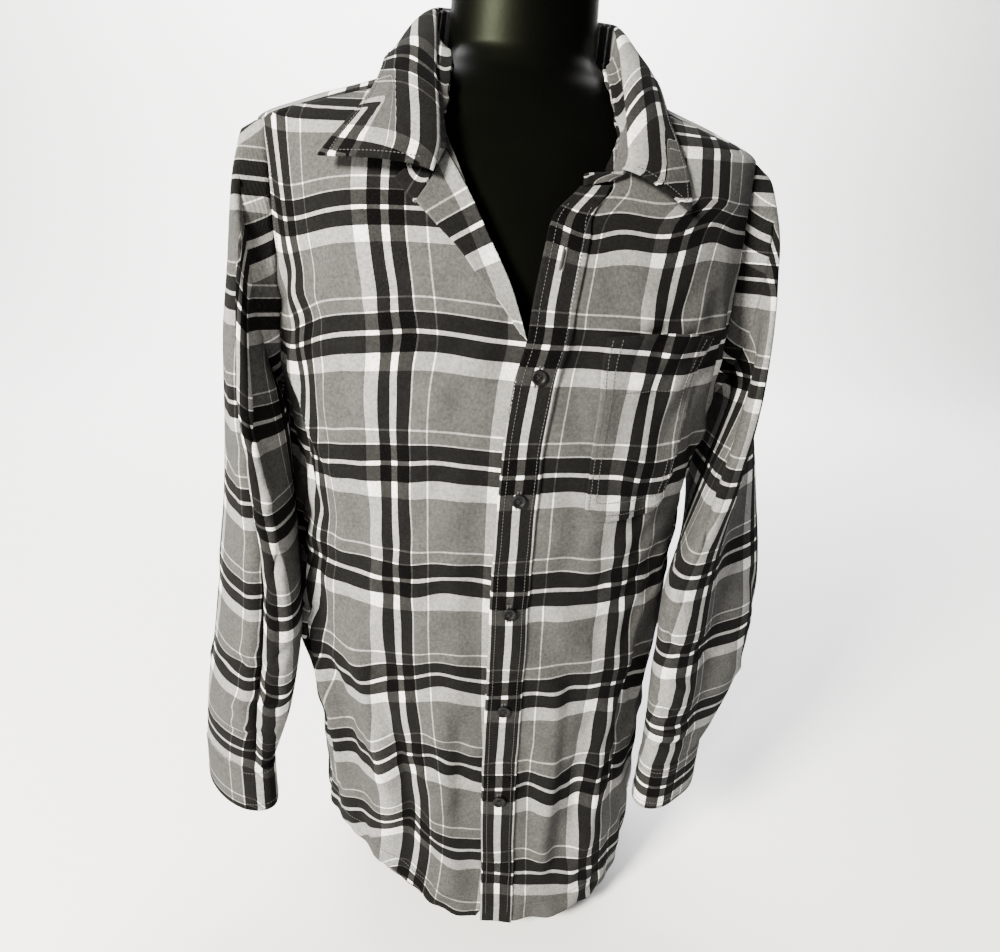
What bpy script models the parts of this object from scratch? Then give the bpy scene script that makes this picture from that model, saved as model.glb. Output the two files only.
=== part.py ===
"""A plaid flannel shirt, its top two buttons open, worn by a limbless dress form.

Metres, +Z up.  The origin is the centre of the form's flat underside, -Y is the
front and +X is the wearer's left.  The torso is one smooth surface with an angle
round it and a height: 0 degrees is the wearer's left side, 90 the front, 180 the
wearer's right side and -90 the back.  Every body panel is a patch of that surface,
and its wall is built outwards along the surface's normal.
"""

from collections import namedtuple

import bpy
import numpy as np

WALL = 0.0016  # one layer of brushed flannel, with its nap
DOUBLE_WALL = 0.0024  # two layers and interfacing: collar, cuffs, front band
SEAM = 0.0003  # gap between neighbouring pieces
HEM_CLEARANCE = 0.022  # from the surface that the form stands on up to height zero
HEM_FRONT = 0.006  # the hem at the centre front
HEM_SIDE = 0.085  # where the side seams start
ARMPIT = 0.510
V_BOTTOM = 0.565  # where the open fronts meet
YOKE_BACK = 0.632  # seam across the shoulder blades
BAND_WIDTH = 0.029  # buttonhole band on the wearer's left front
BAND_WALL = 0.0014
LAPEL_WALL = 0.0014
POCKET_WALL = 0.0014
POCKET_BULGE = 0.0028
LAPEL_NEAR, LAPEL_LIFT = 0.0012, 0.0048  # off the chest at the fold's foot, and more at its top
UNDERLAP = 0.008  # wearer's right front past the centre, under the band
DIP_START, DIP_LENGTH = 0.030, 0.022  # before the band's edge, where that front starts to duck under
HEM_CUTAWAY, CUTAWAY_HEIGHT = 0.030, 0.10  # its edge swings away near the hem
BAND_TAPER = 0.008  # the band is this much narrower at the neck
TAPER_START, TAPER_LENGTH = 0.635, 0.03
BAND_SLANT = 0.002
BUTTON_HEIGHTS = (0.542, 0.449, 0.353, 0.258, 0.160)
BUTTON_RADIUS = 0.0056
BUTTON_THICKNESS = 0.0026
CUFF_FLARE = 0.03
CUFF_BUTTON_COLUMN = 17
LEAF_BULGE, LEAF_PEAK = 0.005, 0.7  # how far the leaf rounds out, and the power that sets where
CUFF_HEIGHT = 0.050
POCKET_LEFT = 0.052
POCKET_TOP, POCKET_BOTTOM = 0.570, 0.430
POCKET_CORNER = 0.010  # how far its lower corners are cut back
POCKET_SAG = 0.003  # and how far its mouth bows upwards
CROWN_SHARE, CROWN_RISE = 0.9, 0.005  # the form's top edge is rounded over by this
COLLAR_LIFT = 0.0010  # the stand's lower edge above the neckline
SEAT_GAP = 0.0010  # and how far it lies outside the panels

Section = namedtuple("Section", "height half_width front back shift squareness")
TORSO = (
    Section(-0.022, 0.159, 0.141, 0.122, 0.007, 2.6),
    Section(0.100, 0.160, 0.142, 0.124, 0.006, 2.5),
    Section(0.190, 0.163, 0.143, 0.125, 0.002, 2.4),
    Section(0.250, 0.169, 0.144, 0.126, -0.002, 2.3),
    Section(0.295, 0.176, 0.145, 0.126, -0.004, 2.3),
    Section(0.360, 0.178, 0.146, 0.127, -0.004, 2.3),
    Section(0.430, 0.179, 0.147, 0.127, -0.002, 2.3),
    Section(0.500, 0.184, 0.148, 0.127, 0.000, 2.3),
    Section(0.560, 0.190, 0.147, 0.126, 0.000, 2.3),
    Section(0.605, 0.193, 0.138, 0.124, 0.000, 2.3),
    Section(0.665, 0.197, 0.112, 0.116, 0.000, 2.3),
    Section(0.700, 0.200, 0.088, 0.102, 0.000, 2.3),
    Section(0.717, 0.165, 0.076, 0.095, 0.000, 2.3),
    Section(0.731, 0.122, 0.068, 0.089, 0.000, 2.3),
    Section(0.744, 0.088, 0.062, 0.083, 0.000, 2.2),
    Section(0.760, 0.067, 0.056, 0.076, 0.000, 2.0),
    Section(0.900, 0.060, 0.056, 0.076, 0.000, 2.0),
)

FORM = (
    Section(-0.022, 0.112, 0.086, 0.084, 0.000, 2.2),
    Section(0.010, 0.122, 0.094, 0.092, 0.000, 2.2),
    Section(0.120, 0.134, 0.108, 0.104, 0.000, 2.2),
    Section(0.240, 0.128, 0.106, 0.100, 0.000, 2.2),
    Section(0.340, 0.134, 0.112, 0.102, 0.000, 2.2),
    Section(0.460, 0.158, 0.130, 0.112, 0.000, 2.2),
    Section(0.545, 0.166, 0.136, 0.114, 0.000, 2.2),
    Section(0.605, 0.169, 0.125, 0.112, 0.000, 2.2),
    Section(0.660, 0.176, 0.101, 0.104, 0.000, 2.2),
    Section(0.693, 0.176, 0.084, 0.096, 0.000, 2.2),
    Section(0.710, 0.160, 0.074, 0.090, 0.000, 2.2),
    Section(0.7232, 0.136, 0.067, 0.086, 0.000, 2.2),
    Section(0.7362, 0.102, 0.060, 0.080, 0.000, 2.2),
    Section(0.750, 0.073, 0.052, 0.072, 0.000, 2.1),
    Section(0.765, 0.058, 0.048, 0.066, 0.000, 2.0),
    Section(0.840, 0.055, 0.050, 0.058, 0.000, 2.0),
)

Fold = namedtuple("Fold", "angle_1 height_1 angle_2 height_2 width rise")
FOLDS = (
    Fold(76, 0.270, 78, 0.060, 0.013, 0.0060),
    Fold(66, 0.240, 70, 0.040, 0.014, -0.0045),
    Fold(52, 0.300, 60, 0.060, 0.016, 0.0045),
    Fold(38, 0.330, 44, 0.080, 0.018, -0.0040),
    Fold(103, 0.330, 101, 0.050, 0.014, 0.0045),
    Fold(116, 0.300, 112, 0.040, 0.016, -0.0045),
    Fold(128, 0.330, 124, 0.050, 0.014, 0.0055),
    Fold(141, 0.310, 134, 0.080, 0.013, -0.0045),
    Fold(150, 0.360, 146, 0.100, 0.013, 0.0055),
    Fold(163, 0.480, 158, 0.340, 0.027, -0.0080),
    Fold(17, 0.480, 24, 0.350, 0.027, -0.0070),
    Fold(150, 0.560, 128, 0.440, 0.020, 0.0035),
    Fold(30, 0.560, 52, 0.450, 0.020, 0.0035),
    Fold(158, 0.600, 148, 0.520, 0.016, -0.0035),
    Fold(24, 0.600, 34, 0.520, 0.016, -0.0035),
    Fold(-28, 0.520, -48, 0.330, 0.022, 0.0050),
    Fold(-152, 0.520, -132, 0.330, 0.022, 0.0050),
    Fold(-60, 0.360, -64, 0.060, 0.020, 0.0050),
    Fold(-84, 0.400, -82, 0.060, 0.022, -0.0045),
    Fold(-104, 0.340, -108, 0.060, 0.020, 0.0050),
    Fold(-128, 0.360, -124, 0.080, 0.022, -0.0045),
)
FOLD_RADIUS = 0.15  # turns a fold's degrees into metres round the body
FOLD_END, FOLD_SPAN = 0.12, 0.76  # part of a half wave that a fold's ends keep
FOLDS_STOP, FOLDS_FADE = 0.640, 0.06  # no folds above this height, and a soft end

Mark = namedtuple("Mark", "angle height")
ARMHOLE_FRONT = (
    Mark(0, ARMPIT),
    Mark(7, 0.514),
    Mark(14, 0.530),
    Mark(19, 0.558),
    Mark(20.5, 0.600),
    Mark(20.5, 0.648),
    Mark(19, 0.700),
)
ARMHOLE_TOP = (
    Mark(19, 0.700),
    Mark(0, 0.7015),
    Mark(-19, 0.700),
    Mark(-20, 0.665),
    Mark(-20, YOKE_BACK),
)
ARMHOLE_BACK = (
    Mark(-20, YOKE_BACK),
    Mark(-19.5, 0.590),
    Mark(-17, 0.552),
    Mark(-12, 0.526),
    Mark(-6, 0.513),
    Mark(0, ARMPIT),
)
NECK = (
    Mark(82.5, 0.6665),
    Mark(77.3, 0.672),
    Mark(75.8, 0.686),
    Mark(75.0, 0.700),
    Mark(72.8, 0.715),
    Mark(65.6, 0.730),
    Mark(52.6, 0.744),
    Mark(38, 0.753),
    Mark(10, 0.757),
    Mark(-30, 0.758),
    Mark(-90, 0.759),
    Mark(-150, 0.758),
    Mark(-190, 0.757),
    Mark(-218, 0.753),
    Mark(-232.6, 0.744),
    Mark(-245.6, 0.730),
    Mark(-252.8, 0.715),
    Mark(-255.0, 0.700),
    Mark(-255.3, 0.684),
)
YOKE_START, YOKE_END = 60, -240  # where the yoke's front seams meet the neck
YOKE_FAN = (60, 42, 18, -8, -28, -40, -50)  # neck angles that face the armhole's marks

Edge = namedtuple("Edge", "height across")
BAND_EDGE = (
    Edge(0.000, -0.001),
    Edge(0.073, -0.004),
    Edge(0.137, -0.008),
    Edge(0.210, -0.011),
    Edge(0.300, -0.013),
    Edge(0.380, -0.015),
    Edge(0.480, -0.014),
    Edge(0.530, -0.010),
    Edge(0.565, -0.003),
    Edge(0.595, 0.001),
    Edge(0.628, 0.0075),
    Edge(0.645, 0.012),
    Edge(0.6665, 0.032),
)
POCKET_SIDE = (
    Edge(0.430, 0.118),
    Edge(0.500, 0.127),
    Edge(0.540, 0.133),
    Edge(0.575, 0.145),
)
LAPEL_FOLD = (
    Edge(0.565, -0.0035),
    Edge(0.600, -0.016),
    Edge(0.633, -0.033),
    Edge(0.655, -0.044),
    Edge(0.682, -0.0605),
)
LAPEL_EDGE = (
    Edge(0.568, -0.0065),
    Edge(0.587, -0.021),
    Edge(0.603, -0.036),
    Edge(0.620, -0.050),
    Edge(0.631, -0.062),
    Edge(0.6465, -0.0785),
)

HEM = (
    Mark(-90, 0.006),
    Mark(-60, 0.014),
    Mark(-30, 0.050),
    Mark(0, HEM_SIDE),
    Mark(16, 0.060),
    Mark(32, 0.022),
    Mark(50, 0.004),
    Mark(70, 0.001),
    Mark(90, HEM_FRONT),
    Mark(101, 0.023),
    Mark(112, 0.047),
    Mark(124, 0.070),
    Mark(142, 0.084),
    Mark(180, HEM_SIDE),
    Mark(210, 0.050),
    Mark(240, 0.014),
    Mark(270, 0.006),
)

Collar = namedtuple("Collar", "angle roll_x roll_y roll_z edge_x edge_y edge_z")
COLLAR = (
    Collar(82.5, 0.0335, -0.1130, 0.6750, 0.0335, -0.1130, 0.6750),
    Collar(77.3, 0.0610, -0.1075, 0.6800, 0.1125, -0.1080, 0.6575),
    Collar(75.8, 0.0660, -0.1010, 0.6900, 0.1145, -0.1000, 0.6680),
    Collar(75.0, 0.0668, -0.0915, 0.7025, 0.1130, -0.0920, 0.6820),
    Collar(72.8, 0.0670, -0.0805, 0.7185, 0.1070, -0.0830, 0.7000),
    Collar(65.6, 0.0675, -0.0665, 0.7340, 0.1020, -0.0710, 0.7160),
    Collar(52.6, 0.0685, -0.0490, 0.7515, 0.1005, -0.0540, 0.7330),
    Collar(38, 0.0700, -0.0300, 0.7680, 0.1005, -0.0300, 0.7480),
    Collar(10, 0.0705, 0.0060, 0.7910, 0.1000, 0.0200, 0.7550),
    Collar(-45, 0.0460, 0.0600, 0.8040, 0.0760, 0.0920, 0.7500),
    Collar(-90, 0.0000, 0.0730, 0.8040, 0.0000, 0.1100, 0.7480),
    Collar(-135, -0.0440, 0.0590, 0.8020, -0.0730, 0.0920, 0.7500),
    Collar(-190, -0.0660, 0.0060, 0.7880, -0.1000, 0.0200, 0.7540),
    Collar(-218, -0.0680, -0.0300, 0.7650, -0.1030, -0.0260, 0.7480),
    Collar(-232.6, -0.0685, -0.0490, 0.7500, -0.1060, -0.0520, 0.7340),
    Collar(-245.6, -0.0684, -0.0665, 0.7350, -0.1130, -0.0640, 0.7180),
    Collar(-252.8, -0.0676, -0.0810, 0.7210, -0.1210, -0.0720, 0.7060),
    Collar(-255.0, -0.0665, -0.0930, 0.7060, -0.1300, -0.0800, 0.6950),
    Collar(-255.3, -0.0662, -0.1070, 0.6885, -0.1390, -0.0900, 0.6830),
    Collar(-256.0, -0.0702, -0.1200, 0.6690, -0.1450, -0.0980, 0.6740),
)
LEAF_START, LEAF_END = 77.3, -256.0
STAND_TURNED = (
    (-0.0722, -0.1150, 0.6660, -0.0800, -0.1085, 0.6770),
    (-0.0808, -0.1220, 0.6500, -0.0940, -0.1150, 0.6640),
)

Ring = namedtuple("Ring", "across forward long short turn inner outer crease")
SLEEVE_LEFT = (
    Ring(0.2015, -0.003, 0.064, 0.009, 0, 0.497, 0.695, 0.000),
    Ring(0.2040, -0.006, 0.078, 0.012, 3, 0.484, 0.670, 0.002),
    Ring(0.2050, -0.014, 0.086, 0.017, 8, 0.458, 0.610, 0.004),
    Ring(0.2055, -0.031, 0.090, 0.0215, 17, 0.424, 0.540, 0.007),
    Ring(0.2045, -0.051, 0.091, 0.0245, 29, 0.385, 0.465, 0.010),
    Ring(0.2005, -0.069, 0.088, 0.0265, 41, 0.343, 0.400, 0.012),
    Ring(0.2010, -0.082, 0.078, 0.025, 50, 0.300, 0.340, 0.013),
    Ring(0.1980, -0.090, 0.070, 0.025, 54, 0.260, 0.286, 0.012),
    Ring(0.1940, -0.094, 0.060, 0.024, 55, 0.222, 0.237, 0.010),
    Ring(0.1880, -0.094, 0.049, 0.023, 53, 0.193, 0.200, 0.006),
    Ring(0.1830, -0.093, 0.041, 0.020, 51, 0.171, 0.171, 0.002),
)
SLEEVE_RIGHT = (
    Ring(0.2015, -0.003, 0.064, 0.009, 0, 0.497, 0.695, 0.000),
    Ring(0.2040, -0.006, 0.078, 0.012, 2, 0.484, 0.670, 0.002),
    Ring(0.2065, -0.010, 0.087, 0.0165, 4, 0.458, 0.610, 0.004),
    Ring(0.2095, -0.018, 0.089, 0.0215, 7, 0.424, 0.540, 0.008),
    Ring(0.2092, -0.028, 0.087, 0.0245, 12, 0.385, 0.465, 0.012),
    Ring(0.2085, -0.038, 0.082, 0.0270, 18, 0.343, 0.400, 0.014),
    Ring(0.2100, -0.047, 0.076, 0.0300, 22, 0.300, 0.340, 0.013),
    Ring(0.2145, -0.053, 0.068, 0.030, 25, 0.258, 0.284, 0.012),
    Ring(0.2210, -0.058, 0.060, 0.030, 29, 0.219, 0.234, 0.010),
    Ring(0.2280, -0.061, 0.052, 0.025, 36, 0.187, 0.193, 0.006),
    Ring(0.2330, -0.062, 0.045, 0.020, 42, 0.163, 0.163, 0.002),
)
CREASE_LEFT, CREASE_RIGHT = 166, 112  # degrees round the sleeve from its inner side
CREASE_WIDTH = 26

Finish = namedtuple("Finish", "red green blue roughness")
CLOTH = Finish(0.34, 0.34, 0.35, 0.95)
BUTTON_BLACK = Finish(0.012, 0.012, 0.014, 0.35)
FORM_BLACK = Finish(0.010, 0.010, 0.011, 0.30)


def smooth(keys, values, at):
    """A curve through the given values that never overshoots them (monotone cubic)."""
    keys = np.asarray(keys, float)
    values = np.asarray(values, float)
    span = np.diff(keys)
    slope = np.diff(values) / span
    tangent = np.zeros_like(values)
    same_way = slope[:-1] * slope[1:] > 0
    weighted = (span[:-1] + span[1:]) * slope[:-1] * slope[1:]
    mean = span[:-1] * slope[1:] + span[1:] * slope[:-1]
    tangent[1:-1] = np.where(same_way, weighted / np.where(same_way, mean, 1), 0)
    tangent[0] = slope[0]
    tangent[-1] = slope[-1]
    at = np.clip(at, keys[0], keys[-1])
    left = np.clip(np.searchsorted(keys, at, "right") - 1, 0, len(span) - 1)
    width = span[left]
    part = (at - keys[left]) / width
    rest = 1 - part
    ends = values[left] * rest**2 * (1 + 2 * part) + values[left + 1] * part**2 * (3 - 2 * part)
    return ends + width * part * rest * (tangent[left] * rest - tangent[left + 1] * part)


def column(rows, name):
    return np.array([getattr(row, name) for row in rows])


def along(rows, count, names):
    """The rows' columns as smooth curves, read at evenly spaced steps of their length."""
    points = np.stack([column(rows, name) for name in names], 1)
    scale = np.array([FOLD_RADIUS * np.pi / 180 if name == "angle" else 1.0 for name in names])
    steps = np.linalg.norm(np.diff(points * scale, axis=0), axis=1)
    keys = np.concatenate([[0], np.cumsum(steps)])
    at = np.linspace(0, keys[-1], count)
    return np.stack([smooth(keys, values, at) for values in points.T], 1)


def section_sizes(rows, height):
    return [smooth(column(rows, "height"), column(rows, name), height) for name in Section._fields[1:]]


def surface(rows, angle, height):
    """Points and outward normals of a body whose level sections are rounded ovals.

    x is the half width times cos to the power 2 / squareness, and y the front or
    back depth times sin to the same power.
    """
    half_width, front, back, shift, square = section_sizes(rows, height)
    turn = np.radians(angle)
    cosine, sine = np.cos(turn), np.sin(turn)
    depth = np.where(sine >= 0, front, back)
    side = np.sign(cosine) * np.abs(cosine) ** (2 / square)
    fore = np.sign(sine) * np.abs(sine) ** (2 / square)
    points = np.stack([shift + half_width * side, -depth * fore, height], -1)
    step = 0.001
    higher = section_sizes(rows, height + step)
    lower = section_sizes(rows, height - step)
    widening = (higher[0] - lower[0]) / (2 * step)
    deepening = np.where(sine >= 0, higher[1] - lower[1], higher[2] - lower[2]) / (2 * step)
    drift = (higher[3] - lower[3]) / (2 * step)
    normal_x = np.sign(side) * np.abs(side) ** (square - 1) / half_width
    normal_y = -np.sign(fore) * np.abs(fore) ** (square - 1) / depth
    rise = np.abs(side) ** square * widening / half_width
    rise = rise + np.abs(fore) ** square * deepening / depth
    normals = np.stack([normal_x, normal_y, -rise - normal_x * drift], -1)
    return points, normals / np.linalg.norm(normals, axis=-1, keepdims=True)


def from_back(angle):
    """The same angle, counted from -110 to 250 degrees."""
    return (np.asarray(angle) + 110) % 360 - 110


def folds(angle, height):
    """How far the cloth stands out: each fold is a soft bar that fades at both ends."""
    total = np.zeros(np.broadcast(angle, height).shape)
    round_body = np.radians(from_back(angle)) * FOLD_RADIUS
    for fold in FOLDS:
        start_x, end_x = np.radians(from_back([fold.angle_1, fold.angle_2])) * FOLD_RADIUS
        run_x, run_z = end_x - start_x, fold.height_2 - fold.height_1
        length = np.hypot(run_x, run_z)
        forward = ((round_body - start_x) * run_x + (height - fold.height_1) * run_z) / length**2
        across = ((round_body - start_x) * run_z - (height - fold.height_1) * run_x) / length
        inside = np.clip(forward, 0, 1)
        past = (forward - inside) * length
        fade = np.sin(np.pi * (FOLD_END + FOLD_SPAN * inside))
        total = total + fold.rise * fade * np.exp(-(across**2 + past**2) / fold.width**2)
    return total


def cloth(angle, height, out=0.0):
    """A point of the shirt's torso, out metres from the cloth's inner face."""
    points, normals = surface(TORSO, angle, height)
    quiet = np.clip((FOLDS_STOP - np.asarray(height)) / FOLDS_FADE, 0, 1)
    lift = out + folds(angle, height) * quiet
    return points + normals * np.asarray(lift)[..., None], normals


def angle_at(across, height):
    """The angle at which the front of the torso has this x."""
    half_width, _, _, shift, square = section_sizes(TORSO, height)
    side = (across - shift) / half_width
    return np.degrees(np.arccos(np.sign(side) * np.abs(side) ** (square / 2)))


def hem(angle):
    """Shirt-tail: low at the front and back, raised at the sides."""
    turned = (np.asarray(angle) + 90) % 360 - 90
    return smooth(column(HEM, "angle"), column(HEM, "height"), turned)


def finish_of(name, finish):
    """A plain Principled material of this colour, made once for each name."""
    material = bpy.data.materials.get(name) or bpy.data.materials.new(name)
    material.use_nodes = True
    shader = material.node_tree.nodes["Principled BSDF"]
    shader.inputs["Base Color"].default_value = (finish.red, finish.green, finish.blue, 1)
    shader.inputs["Roughness"].default_value = finish.roughness
    shader.inputs["Metallic"].default_value = 0.0
    material.diffuse_color = (finish.red, finish.green, finish.blue, 1)
    return material


def add_object(name, points, faces, finish):
    mesh = bpy.data.meshes.new(name)
    lifted = np.asarray(points) + (0, 0, HEM_CLEARANCE)
    mesh.from_pydata(lifted.tolist(), [], faces)
    mesh.validate()
    mesh.shade_smooth()
    mesh.set_sharp_from_angle(angle=np.radians(50))
    mesh.materials.append(finish_of(name, finish))
    thing = bpy.data.objects.new(name, mesh)
    bpy.context.scene.collection.objects.link(thing)
    return thing


def wall(name, outer, inner, finish, ring=False):
    """A closed wall between two grids of points; ring joins the last column to the first."""
    rows, columns = outer.shape[:2]
    count = rows * columns
    grid = np.arange(count).reshape(rows, columns)
    if ring:
        grid = np.concatenate([grid, grid[:, :1]], 1)
    quads = np.stack([grid[:-1, :-1], grid[:-1, 1:], grid[1:, 1:], grid[1:, :-1]], -1).reshape(-1, 4)
    edge = [grid[0], grid[:, -1], grid[-1, ::-1], grid[::-1, 0]]
    if ring:
        edge = [grid[0], grid[-1, ::-1]]
    rim = np.concatenate([np.stack([e[1:], e[:-1], e[:-1] + count, e[1:] + count], -1) for e in edge])
    faces = np.concatenate([quads, quads[:, ::-1] + count, rim])
    points = np.concatenate([outer.reshape(-1, 3), inner.reshape(-1, 3)])
    first = points[faces[:, 0]]
    corner = np.cross(points[faces[:, 1]], points[faces[:, 2]])
    corner = corner + np.cross(points[faces[:, 2]], points[faces[:, 3]])
    if np.einsum("ij,ij->", first, corner) < 0:
        faces = faces[:, ::-1]
    return add_object(name, points, faces.tolist(), finish)


def panel(name, angle, height, finish, out=0.0, thick=WALL):
    outer, _ = cloth(angle, height, out + thick)
    inner, _ = cloth(angle, height, out)
    return wall(name, outer, inner, finish)


def grid_normals(points, ring=False):
    """Unit normals of a grid of points, from the steps along its rows and columns."""
    if ring:
        wrapped = np.concatenate([points[:, -1:], points, points[:, :1]], 1)
        across = np.gradient(wrapped, axis=1)[:, 1:-1]
    else:
        across = np.gradient(points, axis=1)
    down = np.gradient(points, axis=0)
    normals = np.cross(across, down)
    return normals / np.linalg.norm(normals, axis=-1, keepdims=True)


def between(start, end, bottom, top):
    """A patch of (angle, height) marks inside four edges.

    start and end are the first and last columns, bottom and top the first and last
    rows.  Rows run straight from start to end, and the bow of the bottom and of the
    top edge fades with the fourth power of the distance from it.
    """
    part = np.linspace(0, 1, len(bottom))[None, :, None]
    up = np.linspace(0, 1, len(start))[:, None, None]
    grid = start[:, None] * (1 - part) + end[:, None] * part
    bottom_bow = bottom - (bottom[0] * (1 - part[0]) + bottom[-1] * part[0])
    top_bow = top - (top[0] * (1 - part[0]) + top[-1] * part[0])
    return grid + bottom_bow * (1 - up) ** 4 + top_bow * up**4


SIDE_ROWS = 12
ARMHOLE_ROWS = 8
YOKE_ARM_STEPS = 7
FRONT_COLUMNS = 15


def side_edge(armhole):
    """Marks up the side seam and then up one half of the armhole."""
    heights = np.linspace(HEM_SIDE, ARMPIT, SIDE_ROWS)[:-1]
    seam = np.stack([np.zeros_like(heights), heights], 1)
    return np.concatenate([seam, armhole])


def armhole_marks():
    front = along(ARMHOLE_FRONT, ARMHOLE_ROWS, ("angle", "height"))
    top = along(ARMHOLE_TOP, YOKE_ARM_STEPS, ("angle", "height"))
    back = along(ARMHOLE_BACK, ARMHOLE_ROWS, ("angle", "height"))
    return front, top, back


def band_edge(height):
    """x of the band's free edge."""
    return smooth(column(BAND_EDGE, "height"), column(BAND_EDGE, "across"), height)


def front_left():
    """Wearer's left front: from the band's edge to the side seam, armhole, yoke and neck."""
    front, _, _ = armhole_marks()
    side = side_edge(front)
    heights = np.linspace(HEM_FRONT, NECK[0].height, len(side))
    start = np.stack([angle_at(band_edge(heights), heights), heights], 1)
    neck = neck_marks(NECK[0].angle, YOKE_START, 7)
    yoke_seam = np.linspace(neck[-1], front[-1], FRONT_COLUMNS - 6)[1:]
    top = np.concatenate([neck, yoke_seam])
    start[-1] = top[0]
    side[-1] = top[-1]
    bottom_angle = np.linspace(start[0, 0], 0, FRONT_COLUMNS)
    bottom = np.stack([bottom_angle, hem(bottom_angle)], 1)
    side[0] = bottom[-1]
    start[0] = bottom[0]
    marks = between(start, side, bottom, top)
    marks[-1, :, 1] -= 2 * SEAM
    marks[:, -1, 0] += np.degrees(SEAM / FOLD_RADIUS)
    return marks


def front_right():
    """Wearer's right front: its edge lies under the band and folds back above it."""
    front, _, _ = armhole_marks()
    side = side_edge(front)
    side[:, 0] = 180 - side[:, 0]
    heights = np.linspace(HEM_FRONT, NECK[-1].height, len(side))
    under = band_centre(heights) + UNDERLAP
    under = under - HEM_CUTAWAY * np.clip(1 - heights / CUTAWAY_HEIGHT, 0, 1) ** 1.5
    fold = smooth(column(LAPEL_FOLD, "height"), column(LAPEL_FOLD, "across"), heights)
    blend = np.clip((heights - V_BOTTOM + 0.020) / 0.024, 0, 1)
    across = under * (1 - blend) + fold * blend
    start = np.stack([angle_at(across, heights), heights], 1)
    neck = neck_marks(NECK[-1].angle, YOKE_END, 6) + (360, 0)
    yoke_seam = np.linspace(neck[-1], side[-1], FRONT_COLUMNS - 5)[1:]
    top = np.concatenate([neck, yoke_seam])
    start[-1] = top[0]
    side[-1] = top[-1]
    bottom_angle = np.linspace(start[0, 0], 180, FRONT_COLUMNS)
    bottom = np.stack([bottom_angle, hem(bottom_angle)], 1)
    side[0] = bottom[-1]
    start[0] = bottom[0]
    marks = between(start, side, bottom, top)
    marks[-1, :, 1] -= SEAM
    marks[:, -1, 0] -= np.degrees(SEAM / FOLD_RADIUS)
    return marks


def under_band(angle, height):
    """How far the right front dips to lie under the left one, near the centre."""
    points, _ = surface(TORSO, angle, height)
    part = np.clip((points[..., 0] - band_edge(height) + DIP_START) / DIP_LENGTH, 0, 1)
    dip = part**2 * (3 - 2 * part)
    return -(WALL + 3 * SEAM) * dip


def back_panel():
    _, _, back = armhole_marks()
    left = side_edge(back[::-1])
    right = left.copy()
    right[:, 0] = -180 - right[:, 0]
    steps = 21
    top_angle = np.linspace(left[-1, 0], right[-1, 0], steps)
    top = np.stack([top_angle, np.full(steps, YOKE_BACK)], 1)
    bottom_angle = np.linspace(0, -180, steps)
    bottom = np.stack([bottom_angle, hem(bottom_angle)], 1)
    left[0] = bottom[0]
    right[0] = bottom[-1]
    marks = between(left, right, bottom, top)
    marks[-1, :, 1] -= SEAM
    marks[:, 0, 0] -= np.degrees(SEAM / FOLD_RADIUS)
    marks[:, -1, 0] += np.degrees(SEAM / FOLD_RADIUS)
    return marks


def yoke():
    """From one front seam over the shoulder, across the back and to the other front seam."""
    _, arm, _ = armhole_marks()
    back_steps = 13
    across = np.linspace(arm[-1, 0], -180 - arm[-1, 0], back_steps)[1:-1]
    seam = np.stack([across, np.full(len(across), YOKE_BACK)], 1)
    other = arm[::-1].copy()
    other[:, 0] = -180 - other[:, 0]
    low = np.concatenate([arm, seam, other])
    fan = np.array(YOKE_FAN)
    behind = np.linspace(fan[-1], -180 - fan[-1], back_steps)[1:-1]
    high_angle = np.concatenate([fan, behind, (-180 - fan)[::-1]])
    high_height = smooth(-column(NECK, "angle"), column(NECK, "height"), -high_angle)
    high = np.stack([high_angle, high_height], 1)
    up = np.linspace(0, 1, 8)[:, None, None]
    marks = low * (1 - up) + high * up
    return marks


def body_panels():
    marks = front_left()
    panel("front_left", marks[..., 0], marks[..., 1], CLOTH)
    marks = front_right()
    panel("front_right", marks[..., 0], marks[..., 1], CLOTH, under_band(marks[..., 0], marks[..., 1]))
    marks = back_panel()
    panel("back", marks[..., 0], marks[..., 1], CLOTH)
    marks = yoke()
    panel("yoke", marks[..., 0], marks[..., 1], CLOTH)


def sleeve_rings(rows, side, count):
    """Rings of a hanging sleeve: the first on the armhole, the others from the table.

    A ring is an oval with a long half axis (front to back when turn is 0) and a short
    one (inner to outer side); its height falls from the outer to the inner side, and a
    lengthwise crease is pressed into it.
    """
    front, top, back = armhole_marks()
    marks = np.concatenate([front, top[1:], back[1:-1]])
    if side < 0:
        marks = marks.copy()
        marks[:, 0] = 180 - marks[:, 0]
    hole, normals = cloth(marks[:, 0], marks[:, 1])
    steps = np.linalg.norm(np.diff(hole, axis=0, append=hole[:1]), axis=1)
    length = np.concatenate([[0], np.cumsum(steps)])
    half = int(np.argmax(marks[:, 1]))
    phase = np.where(
        np.arange(len(hole)) <= half,
        180 * length[:-1] / length[half],
        180 + 180 * (length[:-1] - length[half]) / (length[-1] - length[half]),
    )
    at = np.linspace(0, len(rows) - 1, count)
    sizes = {name: smooth(np.arange(len(rows)), column(rows, name), at) for name in Ring._fields}
    turn = np.radians(sizes["turn"])[:, None]
    angle = np.radians(phase)[None]
    crease_at = CREASE_LEFT if side > 0 else CREASE_RIGHT
    away = (phase[None] - crease_at) / CREASE_WIDTH
    dent = sizes["crease"][:, None] * np.exp(-(away**2))
    long = sizes["long"][:, None] - dent * np.abs(np.sin(angle))
    short = sizes["short"][:, None] - dent * np.abs(np.cos(angle))
    outward = -short * np.cos(angle)
    forward = long * np.sin(angle)
    across = sizes["across"][:, None] + outward * np.cos(turn) - forward * np.sin(turn)
    deep = sizes["forward"][:, None] - outward * np.sin(turn) - forward * np.cos(turn)
    middle = (sizes["outer"] + sizes["inner"])[:, None] / 2
    tilt = (sizes["outer"] - sizes["inner"])[:, None] / 2
    height = middle - tilt * np.cos(angle)
    rings = np.stack([side * across, deep, height], -1)
    return hole, normals, rings


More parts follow.
